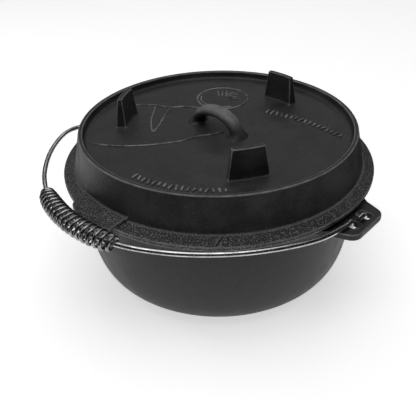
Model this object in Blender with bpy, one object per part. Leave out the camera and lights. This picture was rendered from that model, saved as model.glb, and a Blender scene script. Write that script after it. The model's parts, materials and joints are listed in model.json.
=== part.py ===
"""Cast iron dutch oven: a round pot with two ears, a flanged lid that stands on three feet
when it is turned over, a wire bail and the coil grip wound on it.

Units are metres, +Z is up. The origin is the centre of the pot's base, on the surface
that it stands on. X runs through the two ears, and the bail lies folded towards -Y.
"""

import math

import bmesh
import bpy
from mathutils import Matrix, Vector

# ---- driving sizes ------------------------------------------------------------------

SEAT_GAP = 0.0003            # air between pieces that rest on each other
ROUND_STEPS = 64             # sides of everything turned about the pot's axis
ARC_STEPS = 2                # chords in each small fillet

POT_HEIGHT = 0.121           # base to rim
POT_BODY_RADIUS = 0.151      # outside, under the rim
POT_BASE_RADIUS = 0.100      # flat part of the base
POT_WALL = 0.0046
POT_FLOOR = 0.0056
POT_FULLNESS = 3.4           # 2 is an ellipse in section, higher is squarer
RIM_WIDTH = 0.0065           # across the flat top of the rim
RIM_DEPTH = 0.0050           # outer face of the rim, top to bottom
RIM_FLARE = 0.0110           # from the rim's outer face down to the plain wall
SEAT_DEPTH = 0.0075          # recess inside the rim that takes the lid's lip
SEAT_SLOPE = 0.60            # fall of the shoulder under the recess, per unit inwards
MOUTH_EASE = 0.0008          # bevel round the mouth's inner edge

FLANGE_RADIUS = 0.1703
FLANGE_EDGE = 0.0047         # thickness at the outer edge
FLANGE_FALL = 0.0050         # the flange's top drops this much towards its edge
LIP_RADIUS = 0.1550          # outside of the lip that centres the lid in the rim
LIP_DEPTH = 0.0060
LIP_CLEARANCE = 0.0009       # between the lip and the rim's recess, all round
TRAY_BASE_RADIUS = 0.1576    # outside of the lid's wall where it meets the flange
TRAY_RIM_RADIUS = 0.1500     # outside of the lid's wall at its top
TRAY_RIM_HEIGHT = 0.0420     # above the flange's outer edge
TRAY_WALL = 0.0047
TRAY_DEPTH = 0.0082          # from the tray's rim down to the plate
PLATE_THICKNESS = 0.0047
LID_TURN = math.radians(-4.5)  # how the lid happens to be turned on the pot

FOOT_COUNT = 3
FOOT_INNER_RADIUS = 0.1010
FOOT_THICKNESS = 0.0105
FOOT_WIDTH = 0.0410
FOOT_HEIGHT = 0.0315
FOOT_TAPER = 0.80            # width at the top over width at the base
FOOT_DRAFT = 0.0026          # each broad side leans in this much by the top

LOOP_SPAN = 0.0590           # between the centres of the loop's legs
LOOP_RISE = 0.0205           # centre line of the loop above the plate
LOOP_THICK = 0.0122          # section in the plane of the loop
LOOP_WIDE = 0.0165           # section across that plane

EAR_REACH = 0.1915           # ear's outer edge from the pot's axis
EAR_ROOT_HALF = 0.0420       # half width where it leaves the wall
EAR_TIP_HALF = 0.0260
EAR_CORNER = 0.0120
EAR_THICKNESS = 0.0070
EAR_DROP = 0.0051            # ear's top below the rim
EAR_EDGE = 0.0012
EAR_WEB_DROP = 0.0260        # how far the web under the ear runs down the wall
EAR_WEB_WIDE = 0.72          # half width of the web at its top over the ear's root
EAR_WEB_NARROW = 0.40        # and at its foot and its outer end
HOLE_NEAR = 0.1706           # inner end of the ear's two holes
HOLE_LONG = 0.0144           # along X
BRIDGE_HALF = 0.0050         # half of the bar left between the two holes
HOLE_FAR = 0.0165            # outer side of each hole from the ear's middle

WIRE = 0.0055                # diameter of the bail's wire
ARM_X = 0.1754               # the bail's arms at the ears
EYE_RADIUS = 0.0095          # centre line of the eye round the ear's bridge
EYE_BEND = 0.0040
EYE_PITCH = 0.0058           # sideways step of the eye in one turn
EYE_TAIL = 0.0080            # straight end past the top of the eye
BAIL_RISE = math.tan(math.radians(4.3))
BAIL_FLAT = 0.030            # the arms lie level over the ears, then rise

GRIP_START = math.radians(78.5)
GRIP_END = math.radians(116.0)
GRIP_TURNS = 17.5
GRIP_WIRE = 0.0035
GRIP_RADIUS = 0.0110         # outside of the grip at its middle

SPOUT_TURN = math.radians(-1.8)  # the hood's middle from the lid's own -Y
SPOUT_HALF_ANGLE = math.radians(14.0)
SPOUT_TIP_ANGLE = math.radians(10.2)
SPOUT_REACH = 0.0100         # the hood stands this far past the flange
SPOUT_RAISE = 0.0038         # the hood's top above the flange
SPOUT_SKIN = 0.0042
LIP_CHANNEL = 0.0150         # radius of the pouring channel
CHANNEL_DEPTH = 0.0055       # below the rim
LIP_NARROWING = 0.72         # the pouring lip's half angle over the hood's tip
LIP_TIP_ROUND = 0.0030       # how much its corners fall back from its middle
HOOD_TIP_ROUND = 0.0050

# ---- places that follow from them ---------------------------------------------------

FLANGE_Z = POT_HEIGHT + SEAT_GAP + FLANGE_EDGE
PLATE_Z = FLANGE_Z + TRAY_RIM_HEIGHT - TRAY_DEPTH
SEAT_RADIUS = LIP_RADIUS + LIP_CLEARANCE
RIM_RADIUS = SEAT_RADIUS + RIM_WIDTH
EAR_TOP = POT_HEIGHT - EAR_DROP
EAR_BOTTOM = EAR_TOP - EAR_THICKNESS
PIVOT_Z = EAR_TOP - EAR_THICKNESS / 2
ARM_Z = EAR_TOP + SEAT_GAP + WIRE / 2
ARM_START = EYE_RADIUS + EYE_BEND

# The hoop of the bail, as seen from above: angle from the ear on +X, and how far the wire's
# centre line stands off the edge of the flange. It is bent by hand and isn't quite even.
HOOP = (
    (20.0, 0.0080),
    (35.0, 0.0080),
    (50.0, 0.0112),
    (65.0, 0.0168),
    (80.0, 0.0230),
    (95.0, 0.0236),
    (110.0, 0.0222),
    (125.0, 0.0203),
    (140.0, 0.0212),
    (152.0, 0.0252),
    (161.0, 0.0290),
    (167.0, 0.0270),
)


# ---- small tools --------------------------------------------------------------------


def clear_scene():
    for obj in list(bpy.data.objects):
        bpy.data.objects.remove(obj, do_unlink=True)


def make_material(name, colour, roughness, metallic):
    material = bpy.data.materials.new(name)
    material.use_nodes = True
    shader = material.node_tree.nodes["Principled BSDF"]
    shader.inputs["Base Color"].default_value = (*colour, 1.0)
    shader.inputs["Roughness"].default_value = roughness
    shader.inputs["Metallic"].default_value = metallic
    return material


def add_object(name, mesh):
    obj = bpy.data.objects.new(name, mesh)
    bpy.context.scene.collection.objects.link(obj)
    return obj


def mesh_object(name, bm):
    bmesh.ops.recalc_face_normals(bm, faces=bm.faces)
    mesh = bpy.data.meshes.new(name)
    bm.to_mesh(mesh)
    bm.free()
    return add_object(name, mesh)


def evaluated_mesh(obj):
    depsgraph = bpy.context.evaluated_depsgraph_get()
    return bpy.data.meshes.new_from_object(obj.evaluated_get(depsgraph))


def combine(body, tool, operation):
    """Joins the tool to the body or cuts it away, and removes the tool."""
    modifier = body.modifiers.new(tool.name, "BOOLEAN")
    modifier.operation = operation
    modifier.solver = "EXACT"
    modifier.object = tool
    mesh = evaluated_mesh(body)
    body.modifiers.remove(modifier)
    body.data = mesh
    bpy.data.objects.remove(tool, do_unlink=True)


def finish(obj, material, angle=35.0):
    obj.data.materials.clear()
    obj.data.materials.append(material)
    obj.data.shade_smooth()
    obj.data.set_sharp_from_angle(angle=math.radians(angle))


def rounded(corners):
    """The outline through corners (r, z, fillet radius), with each fillet as an arc."""
    points = []
    for index, (r, z, radius) in enumerate(corners):
        here = Vector((r, z))
        if radius == 0.0:
            points.append(here)
            continue
        before = (Vector(corners[index - 1][:2]) - here).normalized()
        after = (Vector(corners[index + 1][:2]) - here).normalized()
        half = before.angle(after) / 2
        reach = radius / math.tan(half)
        centre = here + (before + after).normalized() * radius / math.sin(half)
        first = here + before * reach - centre
        last = here + after * reach - centre
        sweep = first.angle_signed(last)
        for step in range(ARC_STEPS + 1):
            turn = Matrix.Rotation(-sweep * step / ARC_STEPS, 2)
            points.append(centre + turn @ first)
    return points


def turned(name, points):
    """A solid of revolution about Z from an outline that starts and ends on the axis."""
    bm = bmesh.new()
    verts = [bm.verts.new((r, 0.0, z)) for r, z in points]
    edges = [bm.edges.new(pair) for pair in zip(verts, verts[1:])]
    bmesh.ops.spin(bm, geom=verts + edges, cent=(0, 0, 0), axis=(0, 0, 1),
                   angle=math.tau, steps=ROUND_STEPS, use_duplicate=False)
    bmesh.ops.remove_doubles(bm, verts=bm.verts, dist=1e-6)
    bmesh.ops.dissolve_degenerate(bm, edges=bm.edges, dist=1e-7)
    return mesh_object(name, bm)


def hull(name, points):
    bm = bmesh.new()
    for point in points:
        bm.verts.new(point)
    made = bmesh.ops.convex_hull(bm, input=bm.verts)
    loose = [v for v in made["geom_interior"] if isinstance(v, bmesh.types.BMVert)]
    bmesh.ops.delete(bm, geom=loose, context="VERTS")
    return mesh_object(name, bm)


def prism(name, outline, low, high, bevel=0.0):
    """An upright prism over a flat outline, with its top and bottom edges eased."""
    bm = bmesh.new()
    face = bm.faces.new([bm.verts.new((x, y, low)) for x, y in outline])
    grown = bmesh.ops.extrude_face_region(bm, geom=[face])
    top = [v for v in grown["geom"] if isinstance(v, bmesh.types.BMVert)]
    bmesh.ops.translate(bm, verts=top, vec=(0, 0, high - low))
    if bevel:
        flat = [e for e in bm.edges if abs(e.verts[0].co.z - e.verts[1].co.z) < 1e-9]
        bmesh.ops.bevel(bm, geom=flat, offset=bevel, segments=1, affect="EDGES")
    return mesh_object(name, bm)


def corner_arc(centre_x, centre_y, radius, start, end, steps=5):
    angles = [start + (end - start) * step / steps for step in range(steps + 1)]
    return [(centre_x + radius * math.cos(a), centre_y + radius * math.sin(a)) for a in angles]


def tube(name, points, diameter, resolution):
    """A round wire along the points, with closed ends, as a plain mesh."""
    curve = bpy.data.curves.new(name, "CURVE")
    curve.dimensions = "3D"
    curve.bevel_depth = diameter / 2
    curve.bevel_resolution = resolution
    curve.use_fill_caps = True
    spline = curve.splines.new("POLY")
    spline.points.add(len(points) - 1)
    for spot, point in zip(spline.points, points):
        spot.co = (*point, 1.0)
    guide = add_object(name + "_route", curve)
    mesh = evaluated_mesh(guide)
    bpy.data.objects.remove(guide, do_unlink=True)
    bm = bmesh.new()
    bm.from_mesh(mesh)
    bmesh.ops.remove_doubles(bm, verts=bm.verts, dist=1e-6)
    return mesh_object(name, bm)


# ---- pot ----------------------------------------------------------------------------


def bowl_curve(top_radius, top_z, base_radius, base_z, steps=10):
    """A full bowl section, from the straight wall at the top down to the flat base."""
    power = 2.0 / POT_FULLNESS
    points = []
    for step in range(steps + 1):
        angle = math.pi / 2 * step / steps
        out = max(math.cos(angle), 0.0) ** power
        down = max(math.sin(angle), 0.0) ** power
        points.append(Vector((base_radius + (top_radius - base_radius) * out,
                              top_z - (top_z - base_z) * down)))
    return points


def pot_outline():
    """The pot's outside, closed across the mouth."""
    rim_foot = POT_HEIGHT - RIM_DEPTH
    wall_top = rim_foot - RIM_FLARE
    outer = bowl_curve(POT_BODY_RADIUS, wall_top, POT_BASE_RADIUS, 0.0)
    rim = rounded([
        (POT_BODY_RADIUS, wall_top, 0.0),
        (RIM_RADIUS, rim_foot, 0.0030),
        (RIM_RADIUS, POT_HEIGHT, 0.0012),
        (0.0, POT_HEIGHT, 0.0),
    ])
    return [Vector((0.0, 0.0))] + outer[::-1] + rim[1:]


def cavity_outline():
    """The pot's inside, with the recess for the lid's lip and an eased mouth."""
    seat = POT_HEIGHT - SEAT_DEPTH
    inner_radius = POT_BODY_RADIUS - POT_WALL
    shoulder = seat - (SEAT_RADIUS - inner_radius) * SEAT_SLOPE
    inner = bowl_curve(inner_radius, shoulder, POT_BASE_RADIUS - POT_WALL / 2, POT_FLOOR)
    mouth = rounded([
        (inner_radius, shoulder, 0.0),
        (SEAT_RADIUS, seat, 0.0010),
        (SEAT_RADIUS, POT_HEIGHT - MOUTH_EASE, 0.0),
        (SEAT_RADIUS + 2 * MOUTH_EASE, POT_HEIGHT + MOUTH_EASE, 0.0),
        (SEAT_RADIUS + 2 * MOUTH_EASE, POT_HEIGHT + RIM_WIDTH, 0.0),
        (0.0, POT_HEIGHT + RIM_WIDTH, 0.0),
    ])
    return [Vector((0.0, POT_FLOOR))] + inner[::-1] + mouth[1:]


def ear_outline():
    root = POT_BODY_RADIUS - POT_WALL / 2
    slope = math.atan2(EAR_ROOT_HALF - EAR_TIP_HALF, EAR_REACH - root)
    turn = math.pi / 2 - slope
    centre_x = EAR_REACH - EAR_CORNER
    at_centre = EAR_TIP_HALF + (EAR_REACH - centre_x) * math.tan(slope)
    centre_y = at_centre - EAR_CORNER / math.cos(slope)
    upper = corner_arc(centre_x, centre_y, EAR_CORNER, 0.0, turn)
    half = upper + [(root, EAR_ROOT_HALF)]
    return half + [(x, -y) for x, y in reversed(half)]


def hole_outline(side):
    far, near = HOLE_FAR, BRIDGE_HALF
    radius = 0.0030
    left, right = HOLE_NEAR + radius, HOLE_NEAR + HOLE_LONG - radius
    low, high = near + radius, far - radius
    points = corner_arc(right, high, radius, 0.0, math.pi / 2, 2)
    points += corner_arc(left, high, radius, math.pi / 2, math.pi, 2)
    points += corner_arc(left, low, radius, math.pi, math.pi * 1.5, 2)
    points += corner_arc(right, low, radius, math.pi * 1.5, math.tau, 2)
    return [(x, side * y) for x, y in points]


def ear_web():
    """The tapered web that carries the ear's underside down to the wall."""
    inside = POT_BODY_RADIUS - POT_WALL / 2
    reach = HOLE_NEAR - 0.0040
    top = EAR_BOTTOM + 0.0010
    half_top, half_low = EAR_ROOT_HALF * EAR_WEB_WIDE, EAR_ROOT_HALF * EAR_WEB_NARROW
    points = []
    for side in (-1, 1):
        points.append((inside, side * half_top, top))
        points.append((reach, side * half_low, top))
        points.append((inside, side * half_top, EAR_BOTTOM - 0.0040))
        points.append((inside, side * half_low, EAR_BOTTOM - EAR_WEB_DROP))
        points.append((reach, side * half_low, EAR_BOTTOM - 0.0030))
    return hull("ear_web", points)


def add_ears(pot):
    for angle in (0.0, math.pi):
        plate = prism("ear_plate", ear_outline(), EAR_BOTTOM, EAR_TOP, EAR_EDGE)
        combine(plate, ear_web(), "UNION")
        for side in (-1, 1):
            hole = prism("ear_hole", hole_outline(side), EAR_BOTTOM - 0.02, EAR_TOP + 0.01)
            combine(plate, hole, "DIFFERENCE")
        plate.data.transform(Matrix.Rotation(angle, 4, "Z"))
        combine(pot, plate, "UNION")


def spout_point(radius, angle, z):
    """A place by its radius and its angle from the spout's middle, which faces -Y."""
    return (radius * math.sin(angle), -radius * math.cos(angle), z)


def add_pouring_lip(pot):
    """A lip on the rim, under the lid's hood."""
    tip = FLANGE_RADIUS + SPOUT_REACH - 2 * SPOUT_SKIN
    wide = SPOUT_TIP_ANGLE * LIP_NARROWING
    low = POT_HEIGHT - RIM_DEPTH - RIM_FLARE * 1.6
    points = []
    for share in (-1.0, -0.5, 0.0, 0.5, 1.0):
        reach = tip - LIP_TIP_ROUND * share * share
        for z in (POT_HEIGHT - SEAT_GAP, POT_HEIGHT - RIM_DEPTH * 0.6):
            points.append(spout_point(reach, wide * share, z))
            points.append(spout_point(SEAT_RADIUS, wide * share, z))
        points.append(spout_point(POT_BODY_RADIUS - POT_WALL / 2, wide * 0.6 * share, low))
    lip = hull("pouring_lip", points)
    lip.data.transform(Matrix.Rotation(LID_TURN + SPOUT_TURN, 4, "Z"))
    combine(pot, lip, "UNION")


def pouring_channel():
    """The round-bottomed channel that crosses the rim and the lip."""
    depth = FLANGE_RADIUS / 4
    bm = bmesh.new()
    bmesh.ops.create_cone(bm, cap_ends=True, segments=24, radius1=LIP_CHANNEL,
                          radius2=LIP_CHANNEL, depth=depth)
    bmesh.ops.rotate(bm, verts=bm.verts, matrix=Matrix.Rotation(math.pi / 2, 3, "X"))
    place = spout_point(FLANGE_RADIUS, 0.0, POT_HEIGHT + LIP_CHANNEL - CHANNEL_DEPTH)
    bmesh.ops.translate(bm, verts=bm.verts, vec=place)
    bmesh.ops.rotate(bm, verts=bm.verts, matrix=Matrix.Rotation(LID_TURN + SPOUT_TURN, 3, "Z"))
    return mesh_object("channel", bm)


def build_pot(material):
    pot = turned("pot", pot_outline())
    add_ears(pot)
    add_pouring_lip(pot)
    combine(pot, turned("cavity", cavity_outline()), "DIFFERENCE")
    combine(pot, pouring_channel(), "DIFFERENCE")
    finish(pot, material)
    return pot


# ---- lid ----------------------------------------------------------------------------


def lid_outline():
    rim_top = FLANGE_Z + TRAY_RIM_HEIGHT
    wall_foot = FLANGE_Z + FLANGE_FALL
    underside = PLATE_Z - PLATE_THICKNESS
    bottom = FLANGE_Z - FLANGE_EDGE
    inner_top = TRAY_RIM_RADIUS - TRAY_WALL
    ceiling = inner_top - 0.0015
    lip_inner = LIP_RADIUS - 0.0040
    return rounded([
        (0.0, underside, 0.0),
        (ceiling, underside, 0.0060),
        (lip_inner, bottom - LIP_DEPTH, 0.0012),
        (LIP_RADIUS - 0.0004, bottom - LIP_DEPTH, 0.0012),
        (LIP_RADIUS, bottom, 0.0),
        (FLANGE_RADIUS - 0.0002, bottom, 0.0014),
        (FLANGE_RADIUS, FLANGE_Z, 0.0014),
        (TRAY_BASE_RADIUS, wall_foot, 0.0020),
        (TRAY_RIM_RADIUS, rim_top, 0.0016),
        (inner_top, rim_top, 0.0016),
        (inner_top - 0.0015, PLATE_Z, 0.0040),
        (0.0, PLATE_Z, 0.0),
    ])


def lid_foot(angle):
    """One foot: an upright plate that follows the lid's curve and tapers upwards."""
    outer = FOOT_INNER_RADIUS + FOOT_THICKNESS
    half = math.asin(FOOT_WIDTH / 2 / outer)
    sides = 6
    bm = bmesh.new()
    rings = []
    for z, share, lean in ((PLATE_Z - 0.0015, 1.0, 0.0),
                           (PLATE_Z + FOOT_HEIGHT, FOOT_TAPER, FOOT_DRAFT)):
        spread = [half * share * (2 * step / sides - 1) for step in range(sides + 1)]
        radii = [(outer - lean, a) for a in spread]
        radii += [(FOOT_INNER_RADIUS + lean, a) for a in reversed(spread)]
        rings.append([bm.verts.new((r * math.cos(a), r * math.sin(a), z)) for r, a in radii])
    count = len(rings[0])
    for step in range(count):
        after = (step + 1) % count
        bm.faces.new((rings[0][step], rings[0][after], rings[1][after], rings[1][step]))
    for ring in rings:
        for step in range(sides):
            back = count - 1 - step
            bm.faces.new((ring[step], ring[step + 1], ring[back - 1], ring[back]))
    bmesh.ops.recalc_face_normals(bm, faces=bm.faces)
    sharp = [e for e in bm.edges if e.calc_face_angle(0.0) > math.radians(40)]
    bmesh.ops.bevel(bm, geom=sharp, offset=0.0009, segments=1, affect="EDGES")
    bmesh.ops.rotate(bm, verts=bm.verts, matrix=Matrix.Rotation(angle, 3, "Z"))
    return mesh_object("lid_foot", bm)


def lid_loop():
    """The lifting loop: an oval bar in a half ring, with a spread foot at each end."""
    stations, sides = 16, 12
    flare = 0.55                # the legs are this much thicker where they meet the plate
    bm = bmesh.new()
    rings = []
    for station in range(stations + 1):
        angle = math.pi * station / stations
        out, up = math.cos(angle), math.sin(angle)
        centre = Vector((LOOP_SPAN / 2 * out, 0.0, PLATE_Z + LOOP_RISE * up))
        outward = Vector((out / LOOP_SPAN * 2, 0.0, up / LOOP_RISE)).normalized()
        spread = 1.0 + flare * max(0.0, 1.0 - up * 4.0)
        ring = []
        for side in range(sides):
            turn = math.tau * side / sides
            across = LOOP_WIDE / 2 * spread * math.sin(turn)
            along = LOOP_THICK / 2 * spread * math.cos(turn)
            ring.append(bm.verts.new(centre + outward * along + Vector((0, across, 0))))
        rings.append(ring)
    for end, sign in ((0, 1), (-1, -1)):
        low = [bm.verts.new(v.co + Vector((0, 0, -0.0030))) for v in rings[end]]
        if sign > 0:
            rings.insert(0, low)
        else:
            rings.append(low)
    for first, second in zip(rings, rings[1:]):
        for side in range(sides):
            after = (side + 1) % sides
            bm.faces.new((first[side], first[after], second[after], second[side]))
    bm.faces.new(rings[0])
    bm.faces.new(rings[-1])
    return mesh_object("lid_loop", bm)


def hood_block(shrink, low, rise):
    """The pouring hood's block: wide at the tray's wall, narrower at its rounded tip."""
    tip = FLANGE_RADIUS + SPOUT_REACH - shrink
    root = TRAY_BASE_RADIUS - 0.0040 + shrink * 1.6
    shave = shrink / FLANGE_RADIUS
    fall = FLANGE_FALL / (FLANGE_RADIUS - TRAY_BASE_RADIUS)
    points = []
    for share in (-1.0, -0.5, 0.0, 0.5, 1.0):
        angle_root = (SPOUT_HALF_ANGLE - shave) * share
        angle_tip = (SPOUT_TIP_ANGLE - shave) * share
        reach = tip - HOOD_TIP_ROUND * share * share
        root_top = FLANGE_Z + rise + fall * (FLANGE_RADIUS - root)
        tip_top = FLANGE_Z + rise + fall * (FLANGE_RADIUS - reach) * 0.6
        for radius, angle, top in ((root, angle_root, root_top), (reach, angle_tip, tip_top)):
            points.append(spout_point(radius, angle, low))
            points.append(spout_point(radius, angle, top))
    block = hull("hood", points)
    block.data.transform(Matrix.Rotation(SPOUT_TURN, 4, "Z"))
    return block


def add_hood(lid):
    low = FLANGE_Z - FLANGE_EDGE + 0.0002
    combine(lid, hood_block(0.0, low, SPOUT_RAISE), "UNION")
    recess = hood_block(SPOUT_SKIN, low - 0.0100, SPOUT_RAISE - SPOUT_SKIN)
    combine(lid, recess, "DIFFERENCE")


def build_lid(material):
    lid = turned("lid", lid_outline())
    add_hood(lid)
    for number in range(FOOT_COUNT):
        combine(lid, lid_foot(math.pi / 2 + math.tau * number / FOOT_COUNT), "UNION")
    combine(lid, lid_loop(), "UNION")
    lid.data.transform(Matrix.Rotation(LID_TURN, 4, "Z"))
    finish(lid, material)
    return lid


# ---- bail ---------------------------------------------------------------------------


def smooth_through(points, steps):
    """Points along a smooth curve (Catmull-Rom) through the given ones, ends included."""
    padded = [2 * points[0] - points[1]] + points + [2 * points[-1] - points[-2]]
    made = []
    for a, b, c, d in zip(padded, padded[1:], padded[2:], padded[3:]):
        for step in range(steps):
            t = step / steps
            made.append(0.5 * (2 * b + (c - a) * t + (2 * a - 5 * b + 4 * c - d) * t ** 2
                               + (3 * b - a - 3 * c + d) * t ** 3))
    made.append(points[-1])
    return made


def lifted(x, y):
    """A point of the hoop, which rises evenly once it is past the ears."""
    rise = max(0.0, -y - BAIL_FLAT) * BAIL_RISE
    return Vector((x, y, ARM_Z + rise))


def hoop_points():
    """The hoop from the +X arm round the front to the -X arm."""
    knots = [lifted(ARM_X, -ARM_START), lifted(ARM_X, -0.024)]
    for degrees, stand_off in HOOP:
        angle = math.radians(degrees)
        radius = FLANGE_RADIUS + stand_off
        knots.append(lifted(radius * math.cos(angle), -radius * math.sin(angle)))
    knots += [lifted(-ARM_X - 0.010, -0.0325), lifted(-ARM_X - 0.0025, -0.0225),
              lifted(-ARM_X, -ARM_START)]
    return smooth_through(knots, 4)


def eye_points():
    """The +X end, from the cut tail over the bridge and round it, to the arm's start."""
    points = []

    def add(y, z, share):
        x = ARM_X + EYE_PITCH * share
        points.append(Vector((x, y, PIVOT_Z + z)))

    add(-EYE_TAIL, EYE_RADIUS, 1.0)
    add(-EYE_TAIL / 2, EYE_RADIUS, 1.0)
    turns = 12
    for step in range(turns + 1):
        angle = math.pi / 2 - math.pi * 1.5 * step / turns
        add(EYE_RADIUS * math.cos(angle), EYE_RADIUS * math.sin(angle), 1.0 - step / turns)
    centre_y = -EYE_RADIUS - EYE_BEND
    centre_z = ARM_Z - PIVOT_Z - EYE_BEND
    for step in range(4):
        angle = math.pi / 2 * step / 4
        add(centre_y + EYE_BEND * math.cos(angle), centre_z + EYE_BEND * math.sin(angle), 0.0)
    return points


def bail_points():
    right = eye_points()
    left = [Vector((-p.x, p.y, p.z)) for p in reversed(right)]
    return right + hoop_points() + left


def build_bail(material):
    bail = tube("bail_wire", bail_points(), WIRE, 2)
    finish(bail, material, 50.0)
    return bail


def build_grip(material):
    """The grip: a spring wound on the hoop, barrel shaped, closing on the wire at its ends."""
    hoop = hoop_points()
    angles = [math.atan2(-p.y, p.x) for p in hoop]
    inside = [p for p, angle in zip(hoop, angles) if GRIP_START <= angle <= GRIP_END]
    lengths = [0.0]
    for a, b in zip(inside, inside[1:]):
        lengths.append(lengths[-1] + (b - a).length)
    end_radius = WIRE / 2 + GRIP_WIRE / 2 + SEAT_GAP
    middle_radius = GRIP_RADIUS - GRIP_WIRE / 2
    per_turn = 10
    count = round(GRIP_TURNS * per_turn)
    points = []
    for step in range(count + 1):
        share = step / count
        along = share * lengths[-1]
        index = max(i for i, length in enumerate(lengths[:-1]) if length <= along)
        span = inside[index + 1] - inside[index]
        spot = inside[index] + span * ((along - lengths[index]) / span.length)
        forward = (inside[min(index + 2, len(inside) - 1)] - inside[max(index - 1, 0)])
        forward.normalize()
        side = forward.cross(Vector((0, 0, 1))).normalized()
        up = side.cross(forward)
        swell = math.sqrt(max(0.0, 1.0 - abs(2 * share - 1) ** 4))
        radius = end_radius + (middle_radius - end_radius) * swell
        turn = math.tau * GRIP_TURNS * share
        points.append(spot + side * radius * math.cos(turn) + up * radius * math.sin(turn))
    grip = tube("coil_grip", points, GRIP_WIRE, 1)
    finish(grip, material, 50.0)
    return grip


# ---- the whole object ---------------------------------------------------------------


def set_origin(obj, place):
    """Puts the object's origin on its joint's axis without moving its shape."""
    obj.data.transform(Matrix.Translation(-Vector(place)))
    obj.location = place


def main():
    clear_scene()
    iron = make_material("cast_iron", (0.035, 0.036, 0.035), 0.55, 0.35)
    lid_iron = make_material("cast_iron_lid", (0.035, 0.036, 0.035), 0.52, 0.35)
    steel = make_material("bright_steel_wire", (0.56, 0.56, 0.55), 0.25, 1.0)
    spring = make_material("spring_steel", (0.42, 0.42, 0.42), 0.28, 1.0)
    build_pot(iron)
    lid = build_lid(lid_iron)
    bail = build_bail(steel)
    grip = build_grip(spring)
    set_origin(lid, (0.0, 0.0, POT_HEIGHT))
    for piece in (bail, grip):
        set_origin(piece, (0.0, 0.0, PIVOT_Z))


main()
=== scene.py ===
"""Cast iron dutch oven: fine shapes and finishes of its two castings, its bail and its grip.

Everything is in metres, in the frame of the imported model: +Z is up, the origin is the centre
of the pot's base, X runs through the two ears and the bail lies folded towards -Y.
"""

import json
import logging
import math
from collections.abc import Iterable, Sequence
from dataclasses import dataclass, field
from enum import Enum

import bmesh
import bpy
from mathutils import Matrix, Vector

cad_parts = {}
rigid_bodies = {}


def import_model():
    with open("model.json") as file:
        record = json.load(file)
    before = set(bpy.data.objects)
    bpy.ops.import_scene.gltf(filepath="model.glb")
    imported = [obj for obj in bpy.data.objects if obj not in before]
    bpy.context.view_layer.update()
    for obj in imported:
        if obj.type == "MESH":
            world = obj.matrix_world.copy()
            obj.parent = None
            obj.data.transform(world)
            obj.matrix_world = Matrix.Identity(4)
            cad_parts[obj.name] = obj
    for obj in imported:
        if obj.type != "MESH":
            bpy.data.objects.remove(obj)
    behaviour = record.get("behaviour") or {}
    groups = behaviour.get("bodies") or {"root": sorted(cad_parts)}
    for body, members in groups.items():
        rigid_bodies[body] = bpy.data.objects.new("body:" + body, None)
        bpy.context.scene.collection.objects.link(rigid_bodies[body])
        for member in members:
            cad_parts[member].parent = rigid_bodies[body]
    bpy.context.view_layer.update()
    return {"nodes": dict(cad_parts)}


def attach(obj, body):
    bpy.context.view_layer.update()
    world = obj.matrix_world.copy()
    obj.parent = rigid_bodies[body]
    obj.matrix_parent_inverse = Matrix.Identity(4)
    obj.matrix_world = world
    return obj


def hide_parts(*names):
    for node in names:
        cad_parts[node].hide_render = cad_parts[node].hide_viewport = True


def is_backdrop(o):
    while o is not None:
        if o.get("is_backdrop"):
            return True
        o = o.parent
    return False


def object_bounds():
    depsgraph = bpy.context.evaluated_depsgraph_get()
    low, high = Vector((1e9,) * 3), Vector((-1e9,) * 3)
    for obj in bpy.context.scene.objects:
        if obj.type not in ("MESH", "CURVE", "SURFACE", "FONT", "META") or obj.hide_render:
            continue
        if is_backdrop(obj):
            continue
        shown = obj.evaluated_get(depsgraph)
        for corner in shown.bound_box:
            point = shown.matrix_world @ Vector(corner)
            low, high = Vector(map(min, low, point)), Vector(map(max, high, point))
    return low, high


LOG = logging.getLogger("dutch_oven")
Outline = list[tuple[float, float]]


class Body(Enum):
    """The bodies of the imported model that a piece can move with."""

    POT = "pot"
    LID = "lid"
    BAIL = "bail"


class Slot(Enum):
    """The material slots of the record."""

    POT_IRON = "pot_iron"
    LID_IRON = "lid_iron"
    BAIL_STEEL = "bail_steel"
    GRIP_STEEL = "grip_steel"


# ---- sizes that several pieces share --------------------------------------------------


@dataclass(frozen=True)
class Fit:
    """Heights and radii at which the pieces meet."""

    seat_gap: float = 0.0003
    pot_height: float = 0.121
    rim_depth: float = 0.0050
    seat_radius: float = 0.1559
    rim_radius: float = 0.1624
    body_radius: float = 0.151
    wall: float = 0.0046
    flange_radius: float = 0.1703
    flange_edge: float = 0.0047
    flange_fall: float = 0.0050
    tray_base: float = 0.1576
    tray_rim: float = 0.1500
    tray_height: float = 0.0420
    tray_depth: float = 0.0082
    lid_turn: float = math.radians(-4.5)
    spout_turn: float = math.radians(-1.8)
    ear_top: float = 0.1159
    ear_thickness: float = 0.0070
    wire: float = 0.0055

    @property
    def flange_z(self) -> float:
        """Height of the flange's top at its outer edge."""
        return self.pot_height + self.seat_gap + self.flange_edge

    @property
    def plate_z(self) -> float:
        """Height of the lid's flat plate."""
        return self.flange_z + self.tray_height - self.tray_depth

    @property
    def pivot_z(self) -> float:
        """Height of the bail's hinge axis, at mid thickness of the ears."""
        return self.ear_top - self.ear_thickness / 2

    @property
    def arm_z(self) -> float:
        """Height of the bail's arms where they lie on the ears."""
        return self.ear_top + self.seat_gap + self.wire / 2


FIT = Fit()


# ---- mesh tools -----------------------------------------------------------------------


def new_object(name: str, data: bpy.types.ID | None) -> bpy.types.Object:
    """Links a new object to the scene.

    Args:
        name: Its name.
        data: Its mesh, curve, light or camera data.

    Returns:
        The object, at the origin.
    """
    obj = bpy.data.objects.new(name, data)
    bpy.context.scene.collection.objects.link(obj)
    return obj


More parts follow.
